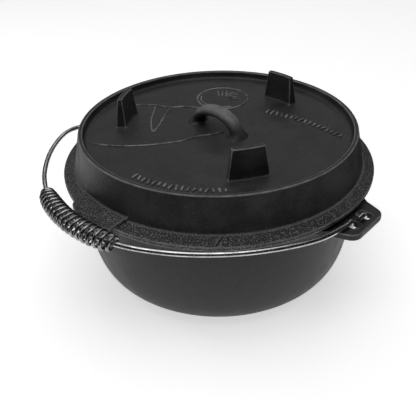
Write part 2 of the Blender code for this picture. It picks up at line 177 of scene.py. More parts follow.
def mesh_object(name: str, bm: bmesh.types.BMesh) -> bpy.types.Object:
    """Turns a bmesh into an object whose faces point outwards.

    Args:
        name: The object's name.
        bm: The finished bmesh, which is freed.

    Returns:
        The new object.
    """
    bmesh.ops.recalc_face_normals(bm, faces=bm.faces)
    mesh = bpy.data.meshes.new(name)
    bm.to_mesh(mesh)
    bm.free()
    return new_object(name, mesh)


def plain_mesh(obj: bpy.types.Object) -> bpy.types.Mesh:
    """Evaluates an object's modifiers.

    Args:
        obj: The object with its modifiers in place.

    Returns:
        A new mesh of the evaluated shape.
    """
    graph = bpy.context.evaluated_depsgraph_get()
    return bpy.data.meshes.new_from_object(obj.evaluated_get(graph), depsgraph=graph)


def remove(obj: bpy.types.Object) -> None:
    """Takes an object out of the file."""
    bpy.data.objects.remove(obj, do_unlink=True)


def combine(body: bpy.types.Object, tool: bpy.types.Object, operation: str) -> None:
    """Joins a tool to a body or cuts it away, and removes the tool.

    Args:
        body: The object that is changed.
        tool: The object that is joined or cut away.
        operation: UNION or DIFFERENCE.
    """
    modifier = body.modifiers.new(tool.name, "BOOLEAN")
    modifier.operation = operation
    modifier.solver = "EXACT"
    modifier.object = tool
    mesh = plain_mesh(body)
    body.modifiers.remove(modifier)
    body.data = mesh
    remove(tool)


def rounded(corners: Sequence[tuple[float, float, float]], steps: int = 6) -> Outline:
    """Fillets the corners of an open outline.

    Args:
        corners: Points (r, z, fillet radius).
        steps: Chords in each fillet.

    Returns:
        The outline's points.
    """
    points: Outline = []
    for index, (r, z, radius) in enumerate(corners):
        here = Vector((r, z))
        if radius == 0.0:
            points.append((r, z))
            continue
        before = (Vector(corners[index - 1][:2]) - here).normalized()
        after = (Vector(corners[index + 1][:2]) - here).normalized()
        half = before.angle(after) / 2
        reach = radius / math.tan(half)
        centre = here + (before + after).normalized() * radius / math.sin(half)
        first, last = here + before * reach - centre, here + after * reach - centre
        sweep = first.angle_signed(last)
        for step in range(steps + 1):
            spot = centre + Matrix.Rotation(-sweep * step / steps, 2) @ first
            points.append((spot.x, spot.y))
    return points


def spaced(outline: Outline, longest: float) -> Outline:
    """Divides an outline's long stretches, so that a lathed face stays fairly square.

    Args:
        outline: The points.
        longest: The longest stretch that is left whole.

    Returns:
        The outline with points added.
    """
    points: Outline = [outline[0]]
    for (r0, z0), (r1, z1) in zip(outline, outline[1:]):
        parts = max(1, math.ceil(math.hypot(r1 - r0, z1 - z0) / longest))
        for part in range(1, parts + 1):
            share = part / parts
            points.append((r0 + (r1 - r0) * share, z0 + (z1 - z0) * share))
    return points


def lathed(name: str, outline: Outline, steps: int) -> bpy.types.Object:
    """Turns an outline about Z into a closed casting.

    Args:
        name: The object's name.
        outline: Points (r, z) that start and end on the axis.
        steps: Sides of the turned shape.

    Returns:
        The new object.
    """
    bm = bmesh.new()
    kept = [outline[0]]
    kept += [spot for last, spot in zip(outline, outline[1:]) if math.dist(last, spot) > 1e-6]
    rings = []
    for r, z in kept:
        turns = [math.tau * step / steps for step in range(steps)] if r > 1e-6 else [0.0]
        rings.append([bm.verts.new((r * math.cos(a), r * math.sin(a), z)) for a in turns])
    for low, high in zip(rings, rings[1:]):
        for step in range(steps):
            after = (step + 1) % steps
            spots = (low[step % len(low)], low[after % len(low)],
                     high[after % len(high)], high[step % len(high)])
            bm.faces.new(dict.fromkeys(spots))
    return mesh_object(name, bm)


def lofted(name: str, rings: Sequence[Sequence[Vector]]) -> bpy.types.Object:
    """Skins closed rings of equal count into a closed solid.

    Args:
        name: The object's name.
        rings: The rings, from one end to the other.

    Returns:
        The new object.
    """
    bm = bmesh.new()
    rows = [[bm.verts.new(point) for point in ring] for ring in rings]
    count = len(rows[0])
    for low, high in zip(rows, rows[1:]):
        for step in range(count):
            after = (step + 1) % count
            bm.faces.new((low[step], low[after], high[after], high[step]))
    bm.faces.new(rows[0])
    bm.faces.new(rows[-1])
    return mesh_object(name, bm)


def hull(name: str, points: Iterable[Vector], bevel: float, segments: int = 3) -> bpy.types.Object:
    """Wraps points in a convex solid with rounded edges.

    Args:
        name: The object's name.
        points: Corner points.
        bevel: Width of the rounding.
        segments: Faces across the rounding.

    Returns:
        The new object.
    """
    bm = bmesh.new()
    for point in points:
        bm.verts.new(point)
    made = bmesh.ops.convex_hull(bm, input=bm.verts)
    loose = [v for v in made["geom_interior"] if isinstance(v, bmesh.types.BMVert)]
    bmesh.ops.delete(bm, geom=loose, context="VERTS")
    bmesh.ops.dissolve_limit(bm, angle_limit=math.radians(2), verts=bm.verts, edges=bm.edges)
    edges = [e for e in bm.edges if e.calc_face_angle(0.0) > math.radians(18)]
    bmesh.ops.bevel(bm, geom=edges, offset=bevel, segments=segments, profile=0.5,
                    affect="EDGES", clamp_overlap=True)
    return mesh_object(name, bm)


def rounded_box(half_u: float, half_v: float, corner: float, per_corner: int = 5,
                per_side: int = 8) -> Outline:
    """The outline of a rectangle with rounded corners.

    Args:
        half_u: Half of its size along u.
        half_v: Half of its size along v.
        corner: Corner radius.
        per_corner: Chords in each corner.
        per_side: Stretches on each straight side along v.

    Returns:
        Its points, counter-clockwise.
    """
    points: Outline = []
    u, v = half_u - corner, half_v - corner
    for quarter, (cu, cv) in enumerate(((u, v), (-u, v), (-u, -v), (u, -v))):
        for step in range(per_corner + 1):
            angle = math.pi / 2 * (quarter + step / per_corner)
            points.append((cu + corner * math.cos(angle), cv + corner * math.sin(angle)))
        if quarter in (1, 3):
            side = -1 if quarter == 1 else 1
            points += [(side * half_u, side * (-v + 2 * v * step / per_side))
                       for step in range(1, per_side)]
    return points


def smooth_through(points: Sequence[Vector], steps: int) -> list[Vector]:
    """Points along a smooth curve (Catmull-Rom) through the given ones, ends included.

    Args:
        points: The points that it passes.
        steps: Stretches between each two of them.

    Returns:
        The curve's points.
    """
    padded = [2 * points[0] - points[1], *points, 2 * points[-1] - points[-2]]
    made: list[Vector] = []
    for a, b, c, d in zip(padded, padded[1:], padded[2:], padded[3:]):
        for step in range(steps):
            t = step / steps
            made.append(0.5 * (2 * b + (c - a) * t + (2 * a - 5 * b + 4 * c - d) * t ** 2
                               + (3 * b - a - 3 * c + d) * t ** 3))
    made.append(points[-1])
    return made


def mark_wear_and_highlight_edges(mesh: bpy.types.Mesh, dull: float = 0.006, bright: float = 0.0014) -> None:
    """Stores how far each vertex stands on an outer edge, 0 to 1, for edge wear and painted
    highlight.

    Args:
        mesh: The casting's mesh.
        dull: Edge radius that gets neither wear nor painted highlight.
        bright: Edge radius that gets the most wear and painted highlight.
    """
    bm = bmesh.new()
    bm.from_mesh(mesh)
    sharpness = [0.0] * len(bm.verts)
    for edge in bm.edges:
        if len(edge.link_faces) != 2:
            continue
        bend = edge.calc_face_angle_signed(0.0)
        if bend <= 0.02:
            continue
        first, second = (face.calc_center_median() for face in edge.link_faces)
        run = max((second - first).length, 0.0003)
        for vert in edge.verts:
            sharpness[vert.index] = max(sharpness[vert.index], min(bend / run, 1.0 / bright))
    bm.free()
    layer = mesh.attributes.new("wear_and_highlight", "FLOAT", "POINT")
    low, high = 1.0 / dull, 1.0 / bright
    for item, value in zip(layer.data, sharpness):
        item.value = min(max((value - low) / (high - low), 0.0), 1.0)


def finish_casting(obj: bpy.types.Object, material: bpy.types.Material, angle: float = 38.0
                   ) -> None:
    """Shades a casting, weights its normals by area and marks its edges for wear and painted
    highlight.

    Args:
        obj: The casting.
        material: Its finish.
        angle: Edges sharper than this, in degrees, stay crisp.
    """
    bm = bmesh.new()
    bm.from_mesh(obj.data)
    bmesh.ops.remove_doubles(bm, verts=bm.verts, dist=2e-6)
    bmesh.ops.dissolve_degenerate(bm, edges=bm.edges, dist=1e-6)
    bmesh.ops.holes_fill(bm, edges=bm.edges, sides=6)
    bm.to_mesh(obj.data)
    bm.free()
    obj.data.materials.clear()
    obj.data.materials.append(material)
    obj.data.shade_smooth()
    obj.data.set_sharp_from_angle(angle=math.radians(angle))
    mark_wear_and_highlight_edges(obj.data)
    weights = obj.modifiers.new("even_shading", "WEIGHTED_NORMAL")
    weights.keep_sharp = True
    weights.weight = 90
    mesh = plain_mesh(obj)
    obj.modifiers.remove(weights)
    obj.data = mesh


def settle(obj: bpy.types.Object, name: str, body: Body, slot: Slot, *nodes: str) -> None:
    """Names a piece, lets it move with its body and hides the solids that it replaces.

    Args:
        obj: The finished piece.
        name: Its name.
        body: The body it moves with.
        slot: The record's material slot; not used.
        *nodes: The solids it replaces.
    """
    obj.name = name
    obj.data.name = name
    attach(obj, body.value)
    if nodes:
        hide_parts(*nodes)
    faces = sum(len(face.vertices) - 2 for face in obj.data.polygons)
    LOG.info("%s: %d triangles, rides on %s", name, faces, body.value)


# ---- node layout ----------------------------------------------------------------------


class Layout:
    """Lays nodes into a tree and wires them."""

    def __init__(self, tree: bpy.types.NodeTree) -> None:
        """Keeps the tree."""
        self.tree = tree

    def add(self, kind: str, inputs: dict | None = None, **settings: object) -> bpy.types.Node:
        """Adds one node.

        Args:
            kind: The node's type name.
            inputs: Values or sockets for its inputs, by name or number.
            **settings: Properties of the node.

        Returns:
            The node.
        """
        node = self.tree.nodes.new(kind)
        for key, value in settings.items():
            setattr(node, key, value)
        for key, value in (inputs or {}).items():
            if isinstance(value, bpy.types.NodeSocket):
                self.tree.links.new(value, node.inputs[key])
            else:
                node.inputs[key].default_value = value
        return node

    def math(self, operation: str, a: object, b: object = 0.0, clamp: bool = False
             ) -> bpy.types.NodeSocket:
        """Adds a sum of one or two values.

        Args:
            operation: The Math node's operation.
            a: The first value or socket.
            b: The second one.
            clamp: Whether the result is kept between 0 and 1.

        Returns:
            The result's socket.
        """
        node = self.add("ShaderNodeMath", {0: a, 1: b}, operation=operation, use_clamp=clamp)
        return node.outputs[0]

    def ramp(self, value: object, low: float, high: float, to_low: float = 0.0,
             to_high: float = 1.0) -> bpy.types.NodeSocket:
        """Adds a smooth change from one value to another.

        Args:
            value: The value or socket that is read.
            low: Where the change starts.
            high: Where it ends.
            to_low: The result before it.
            to_high: The result after it.

        Returns:
            The result's socket.
        """
        node = self.add("ShaderNodeMapRange", {"Value": value, "From Min": low, "From Max": high,
                                               "To Min": to_low, "To Max": to_high},
                        interpolation_type="SMOOTHSTEP")
        return node.outputs["Result"]

    def noise(self, place: bpy.types.NodeSocket, size: float, detail: float = 3.0,
              roughness: float = 0.55) -> bpy.types.NodeSocket:
        """Adds a cloudy pattern.

        Args:
            place: The coordinates' socket.
            size: The size of one lump, in metres.
            detail: How many finer layers it has.
            roughness: How strong they are.

        Returns:
            The pattern's socket, 0 to 1.
        """
        node = self.add("ShaderNodeTexNoise", {"Vector": place, "Scale": 1.0 / size,
                                               "Detail": detail, "Roughness": roughness})
        return node.outputs["Fac"]

    def blend(self, share: object, first: object, second: object) -> bpy.types.NodeSocket:
        """Adds a blend of two colours.

        Args:
            share: Value or socket, 0 gives the first colour.
            first: The first colour or socket.
            second: The second one.

        Returns:
            The colour's socket.
        """
        node = self.add("ShaderNodeMix", data_type="RGBA", clamp_factor=True)
        for index, value in ((0, share), (6, first), (7, second)):
            if isinstance(value, bpy.types.NodeSocket):
                self.tree.links.new(value, node.inputs[index])
            else:
                node.inputs[index].default_value = value
        return node.outputs[2]


class Group:
    """A shader node group with named inputs and outputs, made once and reused."""

    name = ""
    takes: tuple[tuple[str, float], ...] = ()
    gives: tuple[str, ...] = ()

    def __init__(self) -> None:
        """Builds the group's tree."""
        self.tree = bpy.data.node_groups.new(self.name, "ShaderNodeTree")
        for label, value in self.takes:
            socket = self.tree.interface.new_socket(label, in_out="INPUT",
                                                    socket_type="NodeSocketFloat")
            socket.default_value = value
        for label in self.gives:
            self.tree.interface.new_socket(label, in_out="OUTPUT", socket_type="NodeSocketFloat")
        layout = Layout(self.tree)
        source = layout.add("NodeGroupInput")
        self.lay_out(layout, source, layout.add("NodeGroupOutput"))

    def lay_out(self, layout: Layout, source: bpy.types.Node, sink: bpy.types.Node) -> None:
        """Lays the nodes between the group's input and output."""
        raise NotImplementedError

    def place(self, layout: Layout, **values: float) -> bpy.types.Node:
        """Puts the group into a material.

        Args:
            layout: The material's layout.
            **values: Inputs by name, with _ for a space.

        Returns:
            The group node.
        """
        node = layout.add("ShaderNodeGroup", node_tree=self.tree)
        for key, value in values.items():
            node.inputs[key.replace("_", " ")].default_value = value
        return node


class SandCast(Group):
    """The skin that a sand mould leaves: fine grains, pits and a slightly uneven face."""

    name = "sand_cast_skin"
    takes = (("Grain", 0.0012), ("Pits", 0.5), ("Unevenness", 0.3))
    gives = ("Height", "Tone", "Specks")

    def lay_out(self, layout: Layout, source: bpy.types.Node, sink: bpy.types.Node) -> None:
        """Mixes three sizes of noise and round pits into one height."""
        place = layout.add("ShaderNodeTexCoord").outputs["Object"]
        scale = layout.math("DIVIDE", 1.0, source.outputs["Grain"])
        grains = layout.add("ShaderNodeTexNoise", {"Vector": place, "Scale": scale,
                                                   "Detail": 3.0, "Roughness": 0.6})
        cells = layout.add("ShaderNodeTexVoronoi", {"Vector": place, "Scale": scale},
                           feature="SMOOTH_F1")
        pits = layout.ramp(cells.outputs["Distance"], 0.05, 0.45)
        swell = layout.noise(place, 0.016, 2.0)
        broad = layout.noise(place, 0.055, 2.0)
        fine = grains.outputs["Fac"]
        height = layout.math("ADD", fine, layout.math("MULTIPLY", pits, source.outputs["Pits"]))
        uneven = layout.math("MULTIPLY", layout.math("ADD", swell, broad),
                             layout.math("MULTIPLY", source.outputs["Unevenness"], 4.0))
        layout.tree.links.new(layout.math("ADD", height, uneven), sink.inputs["Height"])
        tone = layout.ramp(layout.math("ADD", swell, broad), 0.75, 1.25)
        layout.tree.links.new(tone, sink.inputs["Tone"])
        specks = layout.ramp(fine, 0.54, 0.66)
        layout.tree.links.new(specks, sink.inputs["Specks"])


class EdgeWearAndHighlight(Group):
    """Lighter edges for handling wear and painted edge highlights, broken up so they aren't an even
    line.
    """

    name = "edge_wear"
    takes = (("Reach", 1.0), ("Break up", 0.7))
    gives = ("Wear_and_highlight",)

    def lay_out(self, layout: Layout, source: bpy.types.Node, sink: bpy.types.Node) -> None:
        """Reads the edge attribute of wear and painted highlight and scatters it with noise."""
        place = layout.add("ShaderNodeTexCoord").outputs["Object"]
        wear_and_highlight = layout.add("ShaderNodeAttribute", attribute_name="wear_and_highlight").outputs["Fac"]
        patches = layout.noise(place, 0.012, 4.0, 0.7)
        spread = layout.ramp(patches, 0.35, 0.65)
        kept = layout.math("SUBTRACT", 1.0, source.outputs["Break up"])
        share = layout.math("ADD", kept, layout.math("MULTIPLY", spread,
                                                     source.outputs["Break up"]))
        reach = layout.math("MULTIPLY", wear_and_highlight, source.outputs["Reach"])
        wear_and_highlight_share = layout.math("MULTIPLY", reach, share, clamp=True)
        layout.tree.links.new(wear_and_highlight_share, sink.inputs["Wear_and_highlight"])


class DrawnWire(Group):
    """Fine lines that run along a drawn wire, from its own coordinates."""

    name = "drawn_wire_lines"
    takes = (("Line width", 0.0004),)
    gives = ("Lines", "Smudge")

    def lay_out(self, layout: Layout, source: bpy.types.Node, sink: bpy.types.Node) -> None:
        """Stretches noise along the wire and adds cloudy smudges."""
        around = layout.add("ShaderNodeAttribute", attribute_name="ring_place").outputs["Vector"]
        along = layout.add("ShaderNodeAttribute", attribute_name="along").outputs["Fac"]
        parts = layout.add("ShaderNodeSeparateXYZ", {"Vector": around})
        slow = layout.math("MULTIPLY", along, 0.02)
        joined = layout.add("ShaderNodeCombineXYZ", {"X": parts.outputs["X"],
                                                     "Y": parts.outputs["Y"], "Z": slow})
        scale = layout.math("DIVIDE", 1.0, source.outputs["Line width"])
        lines = layout.add("ShaderNodeTexNoise", {"Vector": joined.outputs[0], "Scale": scale,
                                                  "Detail": 2.0})
        layout.tree.links.new(lines.outputs["Fac"], sink.inputs["Lines"])
        place = layout.add("ShaderNodeTexCoord").outputs["Object"]
        smudge = layout.ramp(layout.noise(place, 0.009, 4.0, 0.65), 0.4, 0.68)
        layout.tree.links.new(smudge, sink.inputs["Smudge"])


class Effects:
    """The shader groups that the finishes share."""

    def __init__(self) -> None:
        """Builds each group once."""
        self.sand_cast = SandCast()
        self.edge_wear = EdgeWearAndHighlight()
        self.drawn_wire = DrawnWire()


# ---- finishes -------------------------------------------------------------------------


def new_material(name: str) -> tuple[bpy.types.Material, Layout, bpy.types.Node]:
    """Starts a material with a Principled shader.

    Args:
        name: The material's name.

    Returns:
        The material, its layout and its shader.
    """
    material = bpy.data.materials.new(name)
    material.use_nodes = True
    return material, Layout(material.node_tree), material.node_tree.nodes["Principled BSDF"]


@dataclass(frozen=True)
class CastIron:
    """Seasoned cast iron: near black and satin, with sand grain, painted glints and lighter edges
    of wear and painted highlight.
    """

    name: str
    dark: tuple[float, float, float] = (0.013, 0.014, 0.013)
    light: tuple[float, float, float] = (0.024, 0.026, 0.024)
    # Colour of the edges: handling wear and painted highlights alike, also on the loop's crest and
    # the relief.
    wear_and_highlight: tuple[float, float, float] = (0.200, 0.202, 0.197)
    roughness: float = 0.50
    grain: float = 0.0012
    relief: float = 0.00016
    flange_relief: float = 1.0
    # Share of grain specks lightened into painted glints, on the plate and walls, then on the
    # flange.
    specks: float = 0.12
    flange_glints: float = 0.12
    shine: float = 0.5
    break_up: float = 0.5
    # Strength of the painted highlight line in the fillet at the foot of the tray wall.
    seam_highlight: float = 0.0
    pits: float = 0.5
    unevenness: float = 0.35
    glint_gain: float = 12.0
    # Place of that painted highlight line, out from the wall's foot.
    seam_highlight_place: float = 0.0009

    def make(self, effects: Effects) -> bpy.types.Material:
        """Builds the material.

        Args:
            effects: The shared shader groups.

        Returns:
            The material.
        """
        material, layout, shader = new_material(self.name)
        links = material.node_tree.links
        skin = effects.sand_cast.place(layout, Grain=self.grain, Pits=self.pits,
                                       Unevenness=self.unevenness)
        wear_and_highlight_share = effects.edge_wear.place(layout, Reach=1.0, Break_up=self.break_up
                                       ).outputs["Wear_and_highlight"]
        base = layout.blend(skin.outputs["Tone"], (*self.dark, 1.0), (*self.light, 1.0))
        place = layout.add("ShaderNodeTexCoord").outputs["Object"]
        split = layout.add("ShaderNodeSeparateXYZ", {"Vector": place})
        out = layout.math("SQRT", layout.math(
            "ADD", layout.math("POWER", split.outputs["X"], 2.0),
            layout.math("POWER", split.outputs["Y"], 2.0)))
        on_flange = layout.ramp(out, FIT.tray_base - 0.001, FIT.tray_base + 0.002, 1.0,
                                self.flange_relief)
        # Grain specks lightened far above the iron's colour: painted glints, strongest on the
        # flange.
        glint_strength = layout.ramp(out, FIT.tray_base - 0.001, FIT.tray_base + 0.002, self.specks,
                               self.flange_glints)
        # A painted highlight line along the concave fillet at the foot of the tray wall, mixed into
        # the edge colour.
        off_seam_highlight = layout.math("ABSOLUTE", layout.math("SUBTRACT", out,
                                                     FIT.tray_base + self.seam_highlight_place))
        seam_highlight_band = layout.ramp(off_seam_highlight, 0.0002, 0.0013, self.seam_highlight, 0.0)
        wear_and_highlight_share = layout.math("MAXIMUM", wear_and_highlight_share, layout.math(
            "MULTIPLY", seam_highlight_band, layout.ramp(skin.outputs["Specks"], 0.0, 0.6, 0.35, 1.0)))
        glint_specked = layout.blend(layout.math("MULTIPLY", skin.outputs["Specks"], glint_strength), base,
                               (*(c * self.glint_gain for c in self.light), 1.0))
        # The edge colour laid over the iron stands for wear and for painted highlights.
        links.new(layout.blend(wear_and_highlight_share, glint_specked, (*self.wear_and_highlight, 1.0)), shader.inputs["Base Color"])
        rough = layout.math("ADD", layout.ramp(skin.outputs["Tone"], 0.0, 1.0,
                                               self.roughness - 0.05, self.roughness + 0.05),
                            layout.math("MULTIPLY", skin.outputs["Specks"], -0.08))
        links.new(layout.math("SUBTRACT", rough, layout.math("MULTIPLY", wear_and_highlight_share, 0.12)),
                  shader.inputs["Roughness"])
        height = layout.math("MULTIPLY", skin.outputs["Height"], on_flange)
        bump = layout.add("ShaderNodeBump", {"Strength": 1.0, "Distance": self.relief,
                                             "Height": height})
        links.new(bump.outputs["Normal"], shader.inputs["Normal"])
        shader.inputs["Metallic"].default_value = 0.0
        shader.inputs["Specular IOR Level"].default_value = self.shine
        return material


@dataclass(frozen=True)
class DrawnSteel:
    """Bright drawn wire with fine lines along it and dull smudges."""

    name: str
    bright: tuple[float, float, float] = (0.66, 0.66, 0.65)
    dull: tuple[float, float, float] = (0.34, 0.34, 0.34)
    roughness: float = 0.17
    line_width: float = 0.0005

    def make(self, effects: Effects) -> bpy.types.Material:
        """Builds the material.

        Args:
            effects: The shared shader groups.

        Returns:
            The material.
        """
        material, layout, shader = new_material(self.name)
        links = material.node_tree.links
        wire = effects.drawn_wire.place(layout, Line_width=self.line_width)
        lines, smudge = wire.outputs["Lines"], wire.outputs["Smudge"]
        streaked = layout.blend(layout.ramp(lines, 0.35, 0.7), (*self.bright, 1.0),
                                (*(c * 0.72 for c in self.bright), 1.0))
        links.new(layout.blend(layout.math("MULTIPLY", smudge, 0.75), streaked,
                               (*self.dull, 1.0)), shader.inputs["Base Color"])
        rough = layout.math("ADD", layout.ramp(lines, 0.2, 0.8, self.roughness - 0.05,
                                               self.roughness + 0.05),
                            layout.math("MULTIPLY", smudge, 0.14))
        links.new(rough, shader.inputs["Roughness"])
        bump = layout.add("ShaderNodeBump", {"Strength": 0.5, "Distance": 0.00004,
                                             "Height": lines})
        links.new(bump.outputs["Normal"], shader.inputs["Normal"])
        shader.inputs["Metallic"].default_value = 1.0
        return material


@dataclass(frozen=True)
class PaleFloor:
    """A pale matt studio floor."""

    name: str = "pale_floor"
    colour: tuple[float, float, float] = (0.90, 0.90, 0.90)
    glow: float = 0.60

    def make(self) -> bpy.types.Material:
        """Builds the material."""
        material, layout, shader = new_material(self.name)
        place = layout.add("ShaderNodeTexCoord").outputs["Object"]
        cloud = layout.noise(place, 0.4, 2.0)
        tone = layout.blend(cloud, (*self.colour, 1.0), (*(c * 0.99 for c in self.colour), 1.0))
        material.node_tree.links.new(tone, shader.inputs["Base Color"])
        shader.inputs["Roughness"].default_value = 0.9
        shader.inputs["Specular IOR Level"].default_value = 0.2
        shader.inputs["Emission Color"].default_value = (1.0, 1.0, 1.0, 1.0)
        shader.inputs["Emission Strength"].default_value = self.glow
        return material


# ---- geometry node tools --------------------------------------------------------------


class NodeTool:
    """A geometry node tree with named inputs that turns a path into a plain mesh."""

    name = ""
    takes: tuple[tuple[str, str, object], ...] = ()

    def __init__(self) -> None:
        """Builds the tree."""
        self.tree = bpy.data.node_groups.new(self.name, "GeometryNodeTree")
        face = self.tree.interface
        face.new_socket("Geometry", in_out="INPUT", socket_type="NodeSocketGeometry")
        self.keys: dict[str, str] = {}
        for label, kind, value in self.takes:
            socket = face.new_socket(label, in_out="INPUT", socket_type="NodeSocket" + kind)
            if value is not None:
                socket.default_value = value
            self.keys[label] = socket.identifier
        socket = face.new_socket("Finish", in_out="INPUT", socket_type="NodeSocketMaterial")
        self.keys["Finish"] = socket.identifier
        face.new_socket("Geometry", in_out="OUTPUT", socket_type="NodeSocketGeometry")
        layout = Layout(self.tree)
        source = layout.add("NodeGroupInput")
        made = self.lay_out(layout, source)
        real = layout.add("GeometryNodeRealizeInstances", {"Geometry": made})
        dressed = layout.add("GeometryNodeSetMaterial", {"Geometry": real.outputs[0],
                                                         "Material": source.outputs["Finish"]})
        layout.add("NodeGroupOutput", {0: dressed.outputs[0]})

    def lay_out(self, layout: Layout, source: bpy.types.Node) -> bpy.types.NodeSocket:
        """Lays the nodes and returns the made geometry's socket."""
        raise NotImplementedError

    def run(self, name: str, path: Sequence[Vector], finish: bpy.types.Material,
            **values: object) -> bpy.types.Object:
        """Makes a piece along a path.

        Args:
            name: The piece's name.
            path: The points it follows.
            finish: Its material.
            **values: The tree's inputs by name, with _ for a space.

        Returns:
            The piece, as a plain mesh object.
        """
        curve = bpy.data.curves.new(name + "_path", "CURVE")
        curve.dimensions = "3D"
        spline = curve.splines.new("POLY")
        spline.points.add(len(path) - 1)
        for spot, point in zip(spline.points, path):
            spot.co = (*point, 1.0)
        guide = new_object(name + "_path", curve)
        modifier = guide.modifiers.new(self.name, "NODES")
        modifier.node_group = self.tree
        for key, value in values.items():
            modifier[self.keys[key.replace("_", " ")]] = value
        modifier[self.keys["Finish"]] = finish
        mesh = plain_mesh(guide)
        guide.modifiers.remove(modifier)
        remove(guide)
        if not mesh.materials:
            mesh.materials.append(finish)
        return new_object(name, mesh)


class WireTool(NodeTool):
    """A round wire along a path, with coordinates of its own and closed ends."""

    name = "wire_along_path"
    takes = (("Radius", "Float", 0.001), ("Sides", "Int", 24))

    def lay_out(self, layout: Layout, source: bpy.types.Node) -> bpy.types.NodeSocket:
        """Stores the length along the path and the place round the section, then sweeps."""
        length = layout.add("GeometryNodeSplineParameter").outputs["Length"]
        rail = layout.add("GeometryNodeStoreNamedAttribute",
                          {"Geometry": source.outputs["Geometry"], "Name": "along"},
                          data_type="FLOAT", domain="POINT")
        layout.tree.links.new(length, rail.inputs["Value"])
        circle = layout.add("GeometryNodeCurvePrimitiveCircle",
                            {"Resolution": source.outputs["Sides"],
                             "Radius": source.outputs["Radius"]}, mode="RADIUS")
        place = layout.add("GeometryNodeInputPosition").outputs[0]
        ring = layout.add("GeometryNodeStoreNamedAttribute",
                          {"Geometry": circle.outputs["Curve"], "Name": "ring_place"},
                          data_type="FLOAT_VECTOR", domain="POINT")
        layout.tree.links.new(place, ring.inputs["Value"])
        swept = layout.add("GeometryNodeCurveToMesh", {"Curve": rail.outputs[0],
                                                       "Profile Curve": ring.outputs[0],
                                                       "Fill Caps": True})
        return swept.outputs["Mesh"]


class StrokeTool(NodeTool):
    """A row of short raised strokes across a path, each a little different."""

    name = "strokes_along_path"
    takes = (("Count", "Int", 12), ("Stroke", "Vector", (0.0012, 0.007, 0.0016)),
             ("Lean", "Float", 0.35), ("Seed", "Int", 7))

    def lay_out(self, layout: Layout, source: bpy.types.Node) -> bpy.types.NodeSocket:
        """Stands a rounded bar on each point of the path."""
        points = layout.add("GeometryNodeCurveToPoints",
                            {"Curve": source.outputs["Geometry"],
                             "Count": source.outputs["Count"]}, mode="COUNT")
        block = layout.add("GeometryNodeMeshCube", {"Size": source.outputs["Stroke"]})
        soft = layout.add("GeometryNodeSubdivisionSurface", {"Mesh": block.outputs["Mesh"],
                                                             "Level": 2, "Edge Crease": 0.55})
        facing = layout.add("FunctionNodeAlignRotationToVector",
                            {"Vector": points.outputs["Tangent"]}, axis="X", pivot_axis="Z")
        placed = layout.add("GeometryNodeInstanceOnPoints",
                            {"Points": points.outputs["Points"],
                             "Instance": soft.outputs["Mesh"],
                             "Rotation": facing.outputs["Rotation"]})
        lean = layout.add("FunctionNodeRandomValue", {"Seed": source.outputs["Seed"]},
                          data_type="FLOAT")
        layout.tree.links.new(layout.math("MULTIPLY", source.outputs["Lean"], -1.0),
                              lean.inputs[2])
        layout.tree.links.new(source.outputs["Lean"], lean.inputs[3])
        turn = layout.add("ShaderNodeCombineXYZ", {"Z": lean.outputs[1]})
        leaned = layout.add("GeometryNodeRotateInstances",
                            {"Instances": placed.outputs["Instances"],
                             "Rotation": turn.outputs[0], "Local Space": True})
        long = layout.add("FunctionNodeRandomValue", {"Seed": 3}, data_type="FLOAT")
        long.inputs[2].default_value, long.inputs[3].default_value = 0.55, 1.0
        size = layout.add("ShaderNodeCombineXYZ", {"X": 1.0, "Y": long.outputs[1], "Z": 1.0})
        scaled = layout.add("GeometryNodeScaleInstances",
                            {"Instances": leaned.outputs["Instances"], "Scale": size.outputs[0],
                             "Local Space": True})
        return scaled.outputs["Instances"]


# ---- pot ------------------------------------------------------------------------------


